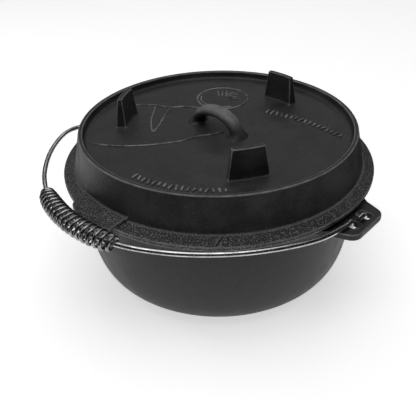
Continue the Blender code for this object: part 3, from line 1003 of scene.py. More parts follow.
@dataclass
class Pot:
    """The pot: one casting with its rim, lid seat, pouring lip and two ears."""

    base_radius: float = 0.100
    floor: float = 0.0056
    fullness: float = 3.4
    rim_flare: float = 0.0110
    seat_depth: float = 0.0075
    seat_slope: float = 0.60
    mouth_ease: float = 0.0008
    turned_sides: int = 288
    ear_reach: float = 0.1915
    ear_root_half: float = 0.0420
    ear_tip_half: float = 0.0260
    ear_corner: float = 0.0120
    ear_round: float = 0.0016
    ear_flare_out: float = 0.006
    ear_flare_rim: float = 0.0042
    ear_flare_root: float = 0.0075
    web_drop: float = 0.0260
    web_wide: float = 0.72
    web_narrow: float = 0.40
    web_round: float = 0.0022
    hole_near: float = 0.1706
    hole_long: float = 0.0144
    hole_far: float = 0.0165
    bridge_half: float = 0.0050
    hole_corner: float = 0.0030
    hole_round: float = 0.0009
    spout_tip: float = 0.1719
    spout_angle: float = math.radians(10.2) * 0.72
    lip_tip_round: float = 0.0030
    lip_foot_width: float = 0.6
    lip_round: float = 0.0010
    channel_radius: float = 0.0150
    channel_depth: float = 0.0055
    casting: bpy.types.Object | None = field(default=None, init=False)

    def bowl(self, top_radius: float, top_z: float, base_radius: float, base_z: float
             ) -> Outline:
        """The bowl's section from its wall down to its flat base.

        Args:
            top_radius: Radius of the wall.
            top_z: Height at which the wall starts to curve.
            base_radius: Radius of the flat base.
            base_z: Height of the base.

        Returns:
            Points from the top down.
        """
        power, steps = 2.0 / self.fullness, 36
        points: Outline = []
        for step in range(steps + 1):
            angle = math.pi / 2 * step / steps
            out = max(math.cos(angle), 0.0) ** power
            down = max(math.sin(angle), 0.0) ** power
            points.append((base_radius + (top_radius - base_radius) * out,
                           top_z - (top_z - base_z) * down))
        return points

    def outside(self) -> Outline:
        """The outside, closed across the mouth."""
        rim_foot = FIT.pot_height - FIT.rim_depth
        wall_top = rim_foot - self.rim_flare
        rim = rounded([(FIT.body_radius, wall_top - 0.004, 0.0),
                       (FIT.body_radius, wall_top, 0.0060),
                       (FIT.rim_radius, rim_foot, 0.0030),
                       (FIT.rim_radius, FIT.pot_height, 0.0012),
                       (0.0, FIT.pot_height, 0.0)])
        wall = self.bowl(FIT.body_radius, wall_top - 0.004, self.base_radius, 0.0)
        return [(0.0, 0.0)] + wall[::-1] + rim[1:]

    def inside(self) -> Outline:
        """The cavity, with the recess for the lid's lip and an eased mouth."""
        seat = FIT.pot_height - self.seat_depth
        inner = FIT.body_radius - FIT.wall
        shoulder = seat - (FIT.seat_radius - inner) * self.seat_slope
        wall = self.bowl(inner, shoulder, self.base_radius - FIT.wall / 2, self.floor)
        ease = self.mouth_ease
        mouth = rounded([(inner, shoulder, 0.0), (FIT.seat_radius, seat, 0.0010),
                         (FIT.seat_radius, FIT.pot_height - ease, 0.0),
                         (FIT.seat_radius + 2 * ease, FIT.pot_height + ease, 0.0),
                         (FIT.seat_radius + 2 * ease, FIT.pot_height + 0.006, 0.0),
                         (0.0, FIT.pot_height + 0.006, 0.0)])
        return [(0.0, self.floor)] + wall[::-1] + mouth[1:]

    def ear_outline(self, inset: float) -> Outline:
        """The ear seen from above.

        Args:
            inset: How far the outline is drawn in, for its rounded edges.

        Returns:
            Its points.
        """
        root = FIT.body_radius - FIT.wall / 2
        slope = math.atan2(self.ear_root_half - self.ear_tip_half, self.ear_reach - root)
        centre_x = self.ear_reach - self.ear_corner
        at_centre = self.ear_tip_half + self.ear_corner * math.tan(slope)
        centre_y = at_centre - self.ear_corner / math.cos(slope)
        radius, steps = self.ear_corner - inset, 14
        half: Outline = []
        for step in range(steps + 1):
            angle = (math.pi / 2 - slope) * step / steps
            half.append((centre_x + radius * math.cos(angle),
                         centre_y + radius * math.sin(angle)))
        flare_x = FIT.rim_radius + self.ear_flare_out
        at_flare = (self.ear_root_half - inset
                    - (flare_x - root) * (self.ear_root_half - self.ear_tip_half)
                    / (self.ear_reach - root))
        half.append((flare_x, at_flare))
        half.append((FIT.rim_radius, at_flare + self.ear_flare_rim))
        half.append((root, at_flare + self.ear_flare_root))
        return half + [(x, -y) for x, y in reversed(half)]

    def ear_plate(self) -> bpy.types.Object:
        """The ear's plate, with its top and bottom edges rounded."""
        top, bottom = FIT.ear_top, FIT.ear_top - FIT.ear_thickness
        rings: list[list[Vector]] = []
        for sign, edge in ((-1, bottom), (1, top)):
            steps = range(5) if sign < 0 else range(4, -1, -1)
            for step in steps:
                angle = math.pi / 2 * step / 4
                inset = self.ear_round * (1 - math.sin(angle))
                z = edge - sign * self.ear_round * (1 - math.cos(angle))
                rings.append([Vector((x, y, z)) for x, y in self.ear_outline(inset)])
        return lofted("ear", rings)

    def ear_hole(self, side: int) -> bpy.types.Object:
        """The tool that cuts one hole with softly rounded mouths.

        Args:
            side: -1 or 1, the side of the bridge.

        Returns:
            The tool.
        """
        top, bottom = FIT.ear_top, FIT.ear_top - FIT.ear_thickness
        half_u = self.hole_long / 2
        half_v = (self.hole_far - self.bridge_half) / 2
        centre = Vector((self.hole_near + half_u, side * (self.hole_far - half_v), 0.0))
        soft, rings = self.hole_round, []
        stations = [(bottom - 0.02, soft), (bottom, soft)]
        stations += [(bottom + soft * (1 - math.cos(a)), soft * (1 - math.sin(a)))
                     for a in (math.pi / 8 * k for k in range(1, 5))]
        stations += [(top - soft * (1 - math.cos(a)), soft * (1 - math.sin(a)))
                     for a in (math.pi / 8 * k for k in range(4, 0, -1))]
        stations += [(top, soft), (top + 0.01, soft)]
        for z, grow in stations:
            outline = rounded_box(half_u + grow, half_v + grow, self.hole_corner + grow, 5, 3)
            rings.append([centre + Vector((u, v, z)) for u, v in outline])
        return lofted("ear_hole", rings)

    def ear_web(self) -> bpy.types.Object:
        """The tapered web under the ear."""
        inside = FIT.body_radius - FIT.wall / 2 + 0.0003
        reach = self.hole_near - 0.0040
        bottom = FIT.ear_top - FIT.ear_thickness
        wide, narrow = self.ear_root_half * self.web_wide, self.ear_root_half * self.web_narrow
        points: list[Vector] = []
        for side in (-1, 1):
            points += [Vector((inside, side * wide, bottom + 0.0010)),
                       Vector((reach, side * narrow, bottom + 0.0010)),
                       Vector((inside, side * wide, bottom - 0.0040)),
                       Vector((inside, side * narrow, bottom - self.web_drop)),
                       Vector((reach, side * narrow, bottom - 0.0030))]
        return hull("ear_web", points, self.web_round)

    def add_ears(self, pot: bpy.types.Object) -> None:
        """Joins both ears to the pot."""
        for angle in (0.0, math.pi):
            plate = self.ear_plate()
            combine(plate, self.ear_web(), "UNION")
            for side in (-1, 1):
                combine(plate, self.ear_hole(side), "DIFFERENCE")
            plate.data.transform(Matrix.Rotation(angle, 4, "Z"))
            combine(pot, plate, "UNION")

    def add_pouring_lip(self, pot: bpy.types.Object) -> None:
        """Joins the lip that the lid's hood covers."""
        low = FIT.pot_height - FIT.rim_depth - self.rim_flare * 1.6
        points: list[Vector] = []
        for share in (-1.0, -0.5, 0.0, 0.5, 1.0):
            reach = self.spout_tip - self.lip_tip_round * share * share
            for radius, part, z in ((reach, 1.0, FIT.pot_height - FIT.seat_gap),
                                    (FIT.seat_radius, 1.0, FIT.pot_height - FIT.seat_gap),
                                    (reach, 1.0, FIT.pot_height - FIT.rim_depth * 0.6),
                                    (FIT.seat_radius, 1.0, FIT.pot_height - FIT.rim_depth * 0.6),
                                    (FIT.body_radius - FIT.wall / 2, self.lip_foot_width, low)):
                angle = self.spout_angle * share * part
                points.append(Vector((radius * math.sin(angle), -radius * math.cos(angle), z)))
        lip = hull("pouring_lip", points, self.lip_round)
        lip.data.transform(Matrix.Rotation(FIT.lid_turn + FIT.spout_turn, 4, "Z"))
        combine(pot, lip, "UNION")

    def channel(self) -> bpy.types.Object:
        """The tool that cuts the round-bottomed pouring channel."""
        reach, steps = FIT.flange_radius / 8, 48
        height = FIT.pot_height + self.channel_radius - self.channel_depth
        rings = []
        for y in (-FIT.flange_radius - reach, -FIT.flange_radius + reach):
            rings.append([Vector((self.channel_radius * math.cos(math.tau * k / steps), y,
                                  height + self.channel_radius * math.sin(math.tau * k / steps)))
                          for k in range(steps)])
        tool = lofted("channel", rings)
        tool.data.transform(Matrix.Rotation(FIT.lid_turn + FIT.spout_turn, 4, "Z"))
        return tool

    def build(self) -> None:
        """Makes the casting."""
        pot = lathed("pot_casting", spaced(self.outside(), 0.008), self.turned_sides)
        self.add_ears(pot)
        self.add_pouring_lip(pot)
        cavity = lathed("cavity", spaced(self.inside(), 0.008), self.turned_sides)
        combine(pot, cavity, "DIFFERENCE")
        combine(pot, self.channel(), "DIFFERENCE")
        self.casting = pot

    def dress(self, iron: bpy.types.Material) -> None:
        """Gives the casting its finish and its place.

        Args:
            iron: The pot's iron.
        """
        finish_casting(self.casting, iron)
        settle(self.casting, "pot_casting", Body.POT, Slot.POT_IRON, "pot")


# ---- lid ------------------------------------------------------------------------------


@dataclass
class Lid:
    """The lid: flange, centring lip, coal tray wall, hood, three feet and lifting loop."""

    lip_radius: float = 0.1550
    lip_depth: float = 0.0060
    tray_wall: float = 0.0047
    plate: float = 0.0047
    turned_sides: int = 298
    foot_count: int = 3
    foot_inner: float = 0.1010
    foot_thickness: float = 0.0105
    foot_width: float = 0.0410
    foot_height: float = 0.0315
    foot_taper: float = 0.80
    foot_draft: float = 0.0026
    foot_fillet: float = 0.0024
    foot_round: float = 0.0009
    loop_span: float = 0.0590
    loop_rise: float = 0.0205
    loop_thick: float = 0.0122
    loop_wide: float = 0.0165
    # Strength of the painted highlight on the loop's crest.
    loop_crest_highlight: float = 0.85
    loop_flare: float = 0.62
    loop_flare_height: float = 3.4
    loop_flare_curve: float = 1.8
    hood_half: float = math.radians(14.0)
    hood_tip_half: float = math.radians(10.2)
    hood_reach: float = 0.0100
    hood_raise: float = 0.0038
    hood_skin: float = 0.0042
    hood_tip_round: float = 0.0050
    hood_sunk: float = 0.0040
    hood_tip_fall: float = 0.6
    mark_angle: float = -48.8
    mark_slant: float = 240.0
    mark_radii: tuple[float, ...] = (0.1592, 0.1598, 0.1640, 0.1684, 0.1692)
    mark_narrowing: float = 0.45
    mark_half: float = 0.0014
    mark_depth: float = 0.0030
    casting: bpy.types.Object | None = field(default=None, init=False)
    relief: list[bpy.types.Object] = field(default_factory=list, init=False)

    def outline(self) -> Outline:
        """The lid's section, from the axis under the plate round to the axis above it."""
        rim_top = FIT.flange_z + FIT.tray_height
        bottom = FIT.flange_z - FIT.flange_edge
        inner = FIT.tray_rim - self.tray_wall
        underside = FIT.plate_z - self.plate
        return rounded([
            (0.0, underside, 0.0),
            (inner - 0.0015, underside, 0.0060),
            (self.lip_radius - 0.0040, bottom - self.lip_depth, 0.0012),
            (self.lip_radius - 0.0004, bottom - self.lip_depth, 0.0012),
            (self.lip_radius, bottom, 0.0),
            (FIT.flange_radius - 0.0002, bottom, 0.0014),
            (FIT.flange_radius, FIT.flange_z, 0.0014),
            (FIT.tray_base, FIT.flange_z + FIT.flange_fall, 0.0026),
            (FIT.tray_rim, rim_top, 0.0016),
            (inner, rim_top, 0.0016),
            (inner - 0.0015, FIT.plate_z, 0.0040),
            (0.0, FIT.plate_z, 0.0),
        ])

    def foot(self, angle: float) -> bpy.types.Object:
        """One foot: an upright plate that follows the lid's curve and tapers upwards.

        Args:
            angle: Its place round the lid.

        Returns:
            The foot.
        """
        middle = self.foot_inner + self.foot_thickness / 2
        stations: list[tuple[float, float]] = [(-0.0012, self.foot_fillet)]
        for step in range(7):
            turn = math.pi / 2 * step / 6
            stations.append((self.foot_fillet * (1 - math.cos(turn)) - 0.0001,
                             self.foot_fillet * (1 - math.sin(turn))))
        straight = self.foot_height - self.foot_round
        stations += [(self.foot_fillet + (straight - self.foot_fillet) * k / 6, 0.0)
                     for k in range(1, 7)]
        for step in range(1, 5):
            turn = math.pi / 2 * step / 4
            stations.append((straight + self.foot_round * math.sin(turn),
                             -self.foot_round * (1 - math.cos(turn))))
        rings: list[list[Vector]] = []
        for z, grow in stations:
            share = max(z, 0.0) / self.foot_height
            half_u = self.foot_thickness / 2 - self.foot_draft * share + grow
            half_v = (self.foot_width / 2 * (1 - (1 - self.foot_taper) * share)) + grow
            ring = []
            for u, v in rounded_box(half_u, half_v, 0.0012 + max(grow, 0.0), 4, 10):
                turn, out = v / middle, middle + u
                ring.append(Vector((out * math.cos(turn), out * math.sin(turn),
                                    FIT.plate_z + z)))
            rings.append(ring)
        foot = lofted("lid_foot", rings)
        foot.data.transform(Matrix.Rotation(angle, 4, "Z"))
        return foot

    def loop(self) -> bpy.types.Object:
        """The lifting loop, with a flared foot at each end."""
        stations, sides = 56, 28
        rings: list[list[Vector]] = []
        for station in range(-2, stations + 3):
            angle = math.pi * min(max(station, 0), stations) / stations
            sunk = 0.0012 * max(-station, station - stations, 0)
            out, up = math.cos(angle), math.sin(angle)
            centre = Vector((self.loop_span / 2 * out, 0.0,
                             FIT.plate_z + self.loop_rise * up - sunk))
            outward = Vector((out / self.loop_span * 2, 0.0, up / self.loop_rise)).normalized()
            spread = (1.0 + self.loop_flare
                      * max(0.0, 1.0 - up * self.loop_flare_height) ** self.loop_flare_curve)
            ring = []
            for side in range(sides):
                turn = math.tau * side / sides
                across = self.loop_wide / 2 * spread * math.sin(turn)
                along = self.loop_thick / 2 * spread * math.cos(turn)
                ring.append(centre + outward * along + Vector((0.0, across, 0.0)))
            rings.append(ring)
        return lofted("lid_loop", rings)

    def hood(self, shrink: float, low: float, rise: float, bevel: float) -> bpy.types.Object:
        """The pouring hood's block, or the recess inside it.

        Args:
            shrink: How much smaller than the outside it is.
            low: Height of its underside.
            rise: Its top above the flange.
            bevel: Rounding of its edges.

        Returns:
            The block.
        """
        tip = FIT.flange_radius + self.hood_reach - shrink
        root = FIT.tray_base - self.hood_sunk + shrink * 1.6
        shave = shrink / FIT.flange_radius
        fall = FIT.flange_fall / (FIT.flange_radius - FIT.tray_base)
        points: list[Vector] = []
        for share in (-1.0, -0.6, -0.2, 0.2, 0.6, 1.0):
            reach = tip - self.hood_tip_round * share * share
            root_top = FIT.flange_z + rise + fall * (FIT.flange_radius - root)
            tip_top = FIT.flange_z + rise + fall * (FIT.flange_radius - reach) * self.hood_tip_fall
            for radius, half, top in ((root, self.hood_half, root_top),
                                      (reach, self.hood_tip_half, tip_top)):
                angle = (half - shave) * share
                for z in (low, top):
                    points.append(Vector((radius * math.sin(angle),
                                          -radius * math.cos(angle), z)))
        block = hull("hood", points, bevel)
        block.data.transform(Matrix.Rotation(FIT.spout_turn, 4, "Z"))
        return block

    def slant_mark(self) -> bpy.types.Object:
        """The tool that cuts the short slanting groove across the flange's front."""
        slope = FIT.flange_fall / (FIT.flange_radius - FIT.tray_base)
        ends = (self.mark_radii[0], self.mark_radii[-1])
        rings = []
        for radius in self.mark_radii:
            angle = math.radians(self.mark_angle - self.mark_slant * (radius - ends[0]))
            out = Vector((math.cos(angle), math.sin(angle), 0.0))
            side = Vector((-out.y, out.x, 0.0))
            top = FIT.flange_z + slope * (FIT.flange_radius - radius)
            end = self.mark_narrowing if radius in ends else 1.0
            rings.append([out * radius + side * self.mark_half * math.cos(a) * end
                          + Vector((0, 0, top + self.mark_depth * math.sin(a) * end))
                          for a in (math.tau * k / 10 for k in range(10))])
        return lofted("slant_mark", rings)

    def build(self) -> None:
        """Makes the casting."""
        lid = lathed("lid_casting", spaced(self.outline(), 0.010), self.turned_sides)
        low = FIT.flange_z - FIT.flange_edge + 0.0002
        combine(lid, self.hood(0.0, low, self.hood_raise, 0.0014), "UNION")
        combine(lid, self.hood(self.hood_skin, low - 0.0100, self.hood_raise - self.hood_skin,
                               0.0008), "DIFFERENCE")
        pieces = [self.foot(math.pi / 2 + math.tau * number / self.foot_count)
                  for number in range(self.foot_count)]
        raised = bmesh.new()
        for piece in (*pieces, self.loop()):
            raised.from_mesh(piece.data)
            remove(piece)
        combine(lid, mesh_object("feet_and_loop", raised), "UNION")
        lid.data.transform(Matrix.Rotation(FIT.lid_turn, 4, "Z"))
        combine(lid, self.slant_mark(), "DIFFERENCE")
        self.casting = lid

    def add_relief(self, wire: WireTool, strokes: StrokeTool, iron: bpy.types.Material) -> None:
        """Adds the raised lines and strokes on the plate.

        Args:
            wire: The tool that makes a raised line.
            strokes: The tool that makes a row of strokes.
            iron: The iron of the raised lines, with painted highlights and painted shade.
        """
        level = FIT.plate_z - 0.0001

        def on_plate(*places: tuple[float, float]) -> list[Vector]:
            """A smooth line through places on the plate, given in millimetres."""
            return smooth_through([Vector((x / 1000, y / 1000, level)) for x, y in places], 10)

        def arc(centre: tuple[float, float], radius: float, start: float, end: float,
                steps: int = 48) -> list[Vector]:
            """An arc on the plate, in metres and degrees."""
            return [Vector((centre[0] + radius * math.cos(math.radians(a)),
                            centre[1] + radius * math.sin(math.radians(a)), level))
                    for a in (start + (end - start) * k / steps for k in range(steps + 1))]

        lines = [
            on_plate((-84, -108), (-66, -101), (-44, -85), (-26, -66), (-12, -46), (-5, -28),
                     (3, -15), (10, -3)),
            on_plate((-122, -18), (-110, -6), (-96, 3), (-80, 8), (-66, 21), (-50, 28)),
            on_plate((-94, 0), (-84, -14), (-72, -30), (-58, -44), (-50, -50)),
            on_plate((-50, -50), (-55, -36), (-64, -20), (-72, -4), (-78, 8)),
            arc((-0.047, 0.066), 0.030, 20, 385, 72),
            arc((-0.047, 0.066), 0.0255, 205, 330),
        ]
        for number, path in enumerate(lines):
            self.relief.append(wire.run(f"line_{number}", path, iron, Radius=0.0012, Sides=12))
        rows = [
            (arc((0.0, 0.0), 0.128, -89, -47), 17, (0.0021, 0.0095, 0.0030), 5),
            (arc((0.060, -0.150), 0.222, 101, 76), 17, (0.0021, 0.0100, 0.0030), 11),
            (arc((-0.047, 0.066), 0.014, 150, 30, 24), 7, (0.0018, 0.0170, 0.0026), 2),
        ]
        for number, (path, count, stroke, seed) in enumerate(rows):
            self.relief.append(strokes.run(f"row_{number}", path, iron, Count=count,
                                           Stroke=stroke, Lean=0.42, Seed=seed))

    def paint_loop_highlight(self) -> None:
        """Paints a highlight on the crest of the lifting loop, lighter towards its top, through the
        edge attribute.
        """
        mesh = self.casting.data
        loop_highlight_layer = mesh.attributes["wear_and_highlight"]
        for vert, highlight_item in zip(mesh.vertices, loop_highlight_layer.data):
            x, y, z = vert.co
            if math.hypot(x, y) < self.foot_inner / 2 and z > FIT.plate_z + 0.004:
                share = (z - FIT.plate_z - 0.004) / (self.loop_rise - 0.004)
                highlight_item.value = max(highlight_item.value, self.loop_crest_highlight * min(share, 1.0))

    def dress(self, iron: bpy.types.Material, raised: bpy.types.Material) -> None:
        """Gives the casting its finish and its place, and joins the relief into one piece.

        Args:
            iron: The lid's iron.
            raised: The iron of the raised lines, with painted highlights and painted shade.
        """
        finish_casting(self.casting, iron)
        self.paint_loop_highlight()
        settle(self.casting, "lid_casting", Body.LID, Slot.LID_IRON, "lid")
        bm = bmesh.new()
        for piece in self.relief:
            bm.from_mesh(piece.data)
            remove(piece)
        relief = mesh_object("lid_relief", bm)
        relief.data.materials.append(raised)
        relief.data.shade_smooth()
        relief.data.set_sharp_from_angle(angle=math.radians(60))
        # Every relief vertex counts as an edge, so the lines take the light edge colour: a painted
        # highlight.
        highlight_item = relief.data.attributes.new("wear_and_highlight", "FLOAT", "POINT")
        for item in highlight_item.data:
            item.value = 0.8
        settle(relief, "lid_relief", Body.LID, Slot.LID_IRON)


# ---- bail -----------------------------------------------------------------------------


@dataclass
class Bail:
    """The wire bail with an eye round each ear's bridge, and the coil grip wound on it."""

    arm_x: float = 0.1754
    eye_radius: float = 0.0095
    eye_bend: float = 0.0040
    eye_pitch: float = 0.0058
    eye_tail: float = 0.0080
    rise: float = math.tan(math.radians(4.3))
    flat: float = 0.030
    hoop: tuple[tuple[float, float], ...] = (
        (20.0, 0.0080), (35.0, 0.0080), (50.0, 0.0112), (65.0, 0.0168), (80.0, 0.0230),
        (95.0, 0.0236), (110.0, 0.0222), (125.0, 0.0203), (140.0, 0.0212), (152.0, 0.0252),
        (161.0, 0.0290), (167.0, 0.0270))
    grip_start: float = math.radians(78.5)
    grip_end: float = math.radians(116.0)
    grip_turns: float = 17.5
    grip_wire: float = 0.0035
    grip_radius: float = 0.0109
    inside_solid: float = 0.0001
    wire: bpy.types.Object | None = field(default=None, init=False)
    grip: bpy.types.Object | None = field(default=None, init=False)

    def lifted(self, x: float, y: float) -> Vector:
        """A point of the hoop, which rises evenly once it is past the ears."""
        return Vector((x, y, FIT.arm_z + max(0.0, -y - self.flat) * self.rise))

    def hoop_points(self, steps: int) -> list[Vector]:
        """The hoop from the +X arm round the front to the -X arm.

        Args:
            steps: Stretches between each two knots.

        Returns:
            Its points.
        """
        start = self.eye_radius + self.eye_bend
        knots = [self.lifted(self.arm_x, -start), self.lifted(self.arm_x, -0.024)]
        for degrees, stand_off in self.hoop:
            angle, radius = math.radians(degrees), FIT.flange_radius + stand_off
            knots.append(self.lifted(radius * math.cos(angle), -radius * math.sin(angle)))
        knots += [self.lifted(-self.arm_x - 0.010, -0.0325),
                  self.lifted(-self.arm_x - 0.0025, -0.0225),
                  self.lifted(-self.arm_x, -start)]
        return smooth_through(knots, steps)

    def eye_points(self) -> list[Vector]:
        """The +X end, from its cut tail over the bridge and round it to the arm."""
        points: list[Vector] = []

        def add(y: float, z: float, share: float) -> None:
            """Adds one point, stepped sideways by its share of the pitch."""
            points.append(Vector((self.arm_x + self.eye_pitch * share, y, FIT.pivot_z + z)))

        for share in (1.0, 0.9, 0.6, 0.3):
            add(-self.eye_tail * share, self.eye_radius, 1.0)
        turns = 40
        for step in range(turns + 1):
            angle = math.pi / 2 - math.pi * 1.5 * step / turns
            add(self.eye_radius * math.cos(angle), self.eye_radius * math.sin(angle),
                1.0 - step / turns)
        centre_y = -self.eye_radius - self.eye_bend
        centre_z = FIT.arm_z - FIT.pivot_z - self.eye_bend
        for step in range(10):
            angle = math.pi / 2 * step / 10
            add(centre_y + self.eye_bend * math.cos(angle),
                centre_z + self.eye_bend * math.sin(angle), 0.0)
        return points

    def coil_points(self) -> list[Vector]:
        """The grip's spring, barrel shaped and closing on the wire at its ends."""
        hoop = self.hoop_points(16)
        inside = [p for p in hoop if self.grip_start <= math.atan2(-p.y, p.x) <= self.grip_end]
        lengths = [0.0]
        for a, b in zip(inside, inside[1:]):
            lengths.append(lengths[-1] + (b - a).length)
        least = FIT.wire / 2 + self.grip_wire / 2 + FIT.seat_gap
        most = self.grip_radius - self.grip_wire / 2
        count, points, index = round(self.grip_turns * 26), [], 0
        for step in range(count + 1):
            share = step / count
            along = share * lengths[-1]
            while index < len(inside) - 2 and lengths[index + 1] < along:
                index += 1
            span = inside[index + 1] - inside[index]
            spot = inside[index] + span * ((along - lengths[index]) / span.length)
            ahead = inside[min(index + 6, len(inside) - 1)] - inside[max(index - 5, 0)]
            forward = ahead.normalized()
            side = forward.cross(Vector((0, 0, 1))).normalized()
            up = side.cross(forward)
            radius = least + (most - least) * math.sqrt(max(0.0, 1 - abs(2 * share - 1) ** 4))
            turn = math.tau * self.grip_turns * share
            points.append(spot + side * radius * math.cos(turn) + up * radius * math.sin(turn))
        return points

    def build(self, tool: WireTool, steel: bpy.types.Material, spring: bpy.types.Material
              ) -> None:
        """Makes the wire and the grip.

        Args:
            tool: The tool that sweeps a wire.
            steel: The bail's finish.
            spring: The grip's finish.
        """
        right = self.eye_points()
        left = [Vector((-p.x, p.y, p.z)) for p in reversed(right)]
        path = right + self.hoop_points(12) + left
        self.wire = tool.run("bail", path, steel, Radius=FIT.wire / 2 - self.inside_solid,
                             Sides=28)
        self.grip = tool.run("grip", self.coil_points(), spring, Radius=self.grip_wire / 2,
                             Sides=16)

    def dress(self) -> None:
        """Smooths both wires and gives them their places."""
        for piece, name, slot, node in ((self.wire, "bail", Slot.BAIL_STEEL, "bail_wire"),
                                        (self.grip, "grip", Slot.GRIP_STEEL, "coil_grip")):
            bm = bmesh.new()
            bm.from_mesh(piece.data)
            bmesh.ops.remove_doubles(bm, verts=bm.verts, dist=1e-6)
            bmesh.ops.recalc_face_normals(bm, faces=bm.faces)
            bm.to_mesh(piece.data)
            bm.free()
            piece.data.shade_smooth()
            piece.data.set_sharp_from_angle(angle=math.radians(50))
            settle(piece, name, Body.BAIL, slot, node)


# ---- studio ---------------------------------------------------------------------------


@dataclass(frozen=True)
class Softbox:
    """One soft light, placed round the oven from the camera's side.

    Its azimuth is in degrees, positive towards the camera's right, out is its distance from the
    oven's axis, size is the width and height of its face and aim the height it points at.
    """

    name: str
    azimuth: float
    out: float
    height: float
    size: tuple[float, float]
    power: float
    aim: float = 0.08


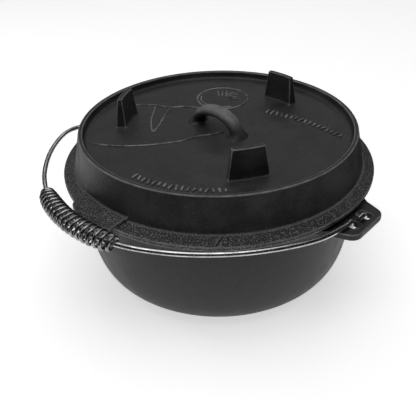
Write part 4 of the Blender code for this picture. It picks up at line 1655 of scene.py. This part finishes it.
@dataclass
class Studio:
    """The floor, the soft lights, the dark cards and the camera."""

    lens: float = 55.4
    stand: float = 0.719
    height_angle: float = math.radians(28.882)
    pitch: float = math.radians(33.510)
    yaw: float = math.radians(-1.179)
    roll: float = math.radians(-1.548)
    heading: float = math.radians(40.0)
    horizon_glow: float = 0.05
    zenith_glow: float = 1.15
    backdrop_glow: float = 19.0
    softboxes: tuple[Softbox, ...] = (
        Softbox("top_box", 180.0, 0.10, 1.70, (1.8, 1.4), 9.0),
        Softbox("front_box", 0.0, 0.55, 1.45, (1.3, 0.7), 4.5),
        Softbox("back_box", 180.0, 2.4, 1.7, (3.0, 1.2), 7.5, 0.1),
        Softbox("left_box", -115.0, 1.3, 0.55, (0.35, 0.9), 2.2),
        Softbox("right_box", 120.0, 1.4, 0.35, (0.25, 0.7), 0.35),
    )
    card_sectors: tuple[tuple[float, float, float], ...] = (
        (-80.0, 95.0, 0.37), (95.0, 178.0, 0.24), (-178.0, -125.0, 0.31))
    card_far: float = 3.0
    card_level: float = 0.012
    floor_half: float = 7.0

    def add_camera(self) -> None:
        """Places the camera in front of the corner between the bail and the +X ear."""
        look = Vector((math.sin(self.yaw) * math.cos(self.pitch),
                       math.cos(self.yaw) * math.cos(self.pitch), -math.sin(self.pitch)))
        right = Vector((math.cos(self.yaw), -math.sin(self.yaw), 0.0))
        up = right.cross(look)
        c, s = math.cos(self.roll), math.sin(self.roll)
        side, top = right * c + up * s, up * c - right * s
        place = Vector((0.0, -self.stand * math.cos(self.height_angle),
                        self.stand * math.sin(self.height_angle)))
        turn = Matrix((side, top, -look)).transposed().to_4x4()
        heading = Matrix.Rotation(self.heading, 4, "Z")
        data = bpy.data.cameras.new("camera")
        data.lens, data.sensor_width = self.lens, 36.0
        data.clip_start, data.clip_end = 0.02, 60.0
        camera = new_object("camera", data)
        camera.matrix_world = (Matrix.Translation((0.0, 0.0, FIT.flange_z)) @ heading
                               @ Matrix.Translation(place) @ turn)
        bpy.context.scene.camera = camera

    def add_softbox(self, box: Softbox) -> None:
        """Adds one soft light that points at the oven."""
        data = bpy.data.lights.new(box.name, "AREA")
        data.shape, data.energy = "RECTANGLE", box.power
        data.size, data.size_y = box.size
        light = new_object(box.name, data)
        angle = self.heading + math.radians(box.azimuth)
        light.location = (box.out * math.sin(angle), -box.out * math.cos(angle), box.height)
        light.rotation_euler = (Vector((0.0, 0.0, box.aim)) - light.location).to_track_quat(
            "-Z", "Y").to_euler()

    def add_lights(self) -> None:
        """Adds the softboxes and the room's faint light, which the camera sees as white."""
        for box in self.softboxes:
            self.add_softbox(box)
        world = bpy.data.worlds.new("studio")
        world.use_nodes = True
        layout = Layout(world.node_tree)
        background = world.node_tree.nodes["Background"]
        heading = layout.add("ShaderNodeTexCoord").outputs["Generated"]
        height = layout.add("ShaderNodeSeparateXYZ", {"Vector": heading}).outputs["Z"]
        glow = layout.ramp(height, 0.22, 1.0, self.horizon_glow, self.zenith_glow)
        seen = layout.math("MULTIPLY", layout.add("ShaderNodeLightPath").outputs["Is Camera Ray"],
                           self.backdrop_glow)
        world.node_tree.links.new(layout.math("MAXIMUM", glow, seen),
                                  background.inputs["Strength"])
        bpy.context.scene.world = world

    def add_cards(self) -> None:
        """Adds the dark cards that keep the bright floor out of the iron's reflections."""
        material, _, shader = new_material("dark_card")
        shader.inputs["Base Color"].default_value = (0.01, 0.01, 0.01, 1.0)
        for number, (start, end, near) in enumerate(self.card_sectors):
            bm = bmesh.new()
            rows, steps = [], math.ceil((end - start) / 5.0)
            for step in range(steps + 1):
                angle = self.heading + math.radians(start + (end - start) * step / steps)
                rows.append([bm.verts.new((radius * math.sin(angle), -radius * math.cos(angle),
                                           self.card_level))
                             for radius in (near, self.card_far)])
            for first, second in zip(rows, rows[1:]):
                bm.faces.new((first[0], first[1], second[1], second[0]))
            card = mesh_object(f"dark_card_{number}", bm)
            card.data.materials.append(material)
            card.visible_camera = False
            card.visible_shadow = False
            card.visible_diffuse = False
            card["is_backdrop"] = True

    def add_floor(self) -> None:
        """Adds the pale floor."""
        bm = bmesh.new()
        steps, half = 24, self.floor_half
        rows = []
        for step in range(steps + 1):
            y = -half + 2 * half * step / steps
            rows.append([bm.verts.new((x, y, -0.0002)) for x in (-half, -half / 3, half / 3, half)])
        for low, high in zip(rows, rows[1:]):
            for k in range(3):
                bm.faces.new((low[k], low[k + 1], high[k + 1], high[k]))
        floor = mesh_object("floor", bm)
        floor.data.materials.append(PaleFloor().make())
        floor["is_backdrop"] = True

    def build(self) -> None:
        """Sets the whole studio up."""
        self.add_camera()
        self.add_lights()
        self.add_cards()
        self.add_floor()
        bpy.context.scene.view_settings.view_transform = "Standard"


def corners() -> list[list[float]]:
    """The shown object's lowest and highest corner, as plain numbers."""
    return [[float(value) for value in corner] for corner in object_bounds()]


def main() -> None:
    """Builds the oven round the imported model."""
    logging.basicConfig(level=logging.INFO, format="%(message)s")
    for obj in list(bpy.data.objects):
        remove(obj)
    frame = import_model()
    LOG.info("solids in the frame: %s", ", ".join(sorted(frame["nodes"])))
    Studio().build()
    effects = Effects()
    pot_iron = CastIron("pot_iron", roughness=0.47, relief=0.00012, specks=0.04,
                        flange_glints=0.04, shine=0.40).make(effects)
    lid_iron = CastIron("lid_iron", dark=(0.018, 0.019, 0.018), light=(0.032, 0.034, 0.032),
                        roughness=0.43, relief=0.00034, flange_relief=2.6, specks=0.08,
                        flange_glints=0.9, shine=0.34, seam_highlight=1.0,
                        wear_and_highlight=(0.24, 0.242, 0.237)
                        ).make(effects)
    # Raised lines: a light edge colour broken up over a darker base, painted highlights and painted
    # shade.
    raised_iron = CastIron("raised_iron", dark=(0.010, 0.010, 0.010),
                           light=(0.022, 0.023, 0.022), wear_and_highlight=(0.30, 0.30, 0.29),
                           roughness=0.38, break_up=0.95).make(effects)
    steel = DrawnSteel("bail_steel").make(effects)
    spring = DrawnSteel("grip_steel", bright=(0.40, 0.40, 0.40), dull=(0.12, 0.12, 0.12),
                        roughness=0.17).make(effects)
    wire, strokes = WireTool(), StrokeTool()

    pot = Pot()
    pot.build()
    pot.dress(pot_iron)
    lid = Lid()
    lid.build()
    lid.add_relief(wire, strokes, raised_iron)
    lid.dress(lid_iron, raised_iron)
    bail = Bail()
    bail.build(wire, steel, spring)
    bail.dress()


if __name__ == "__main__":
    main()
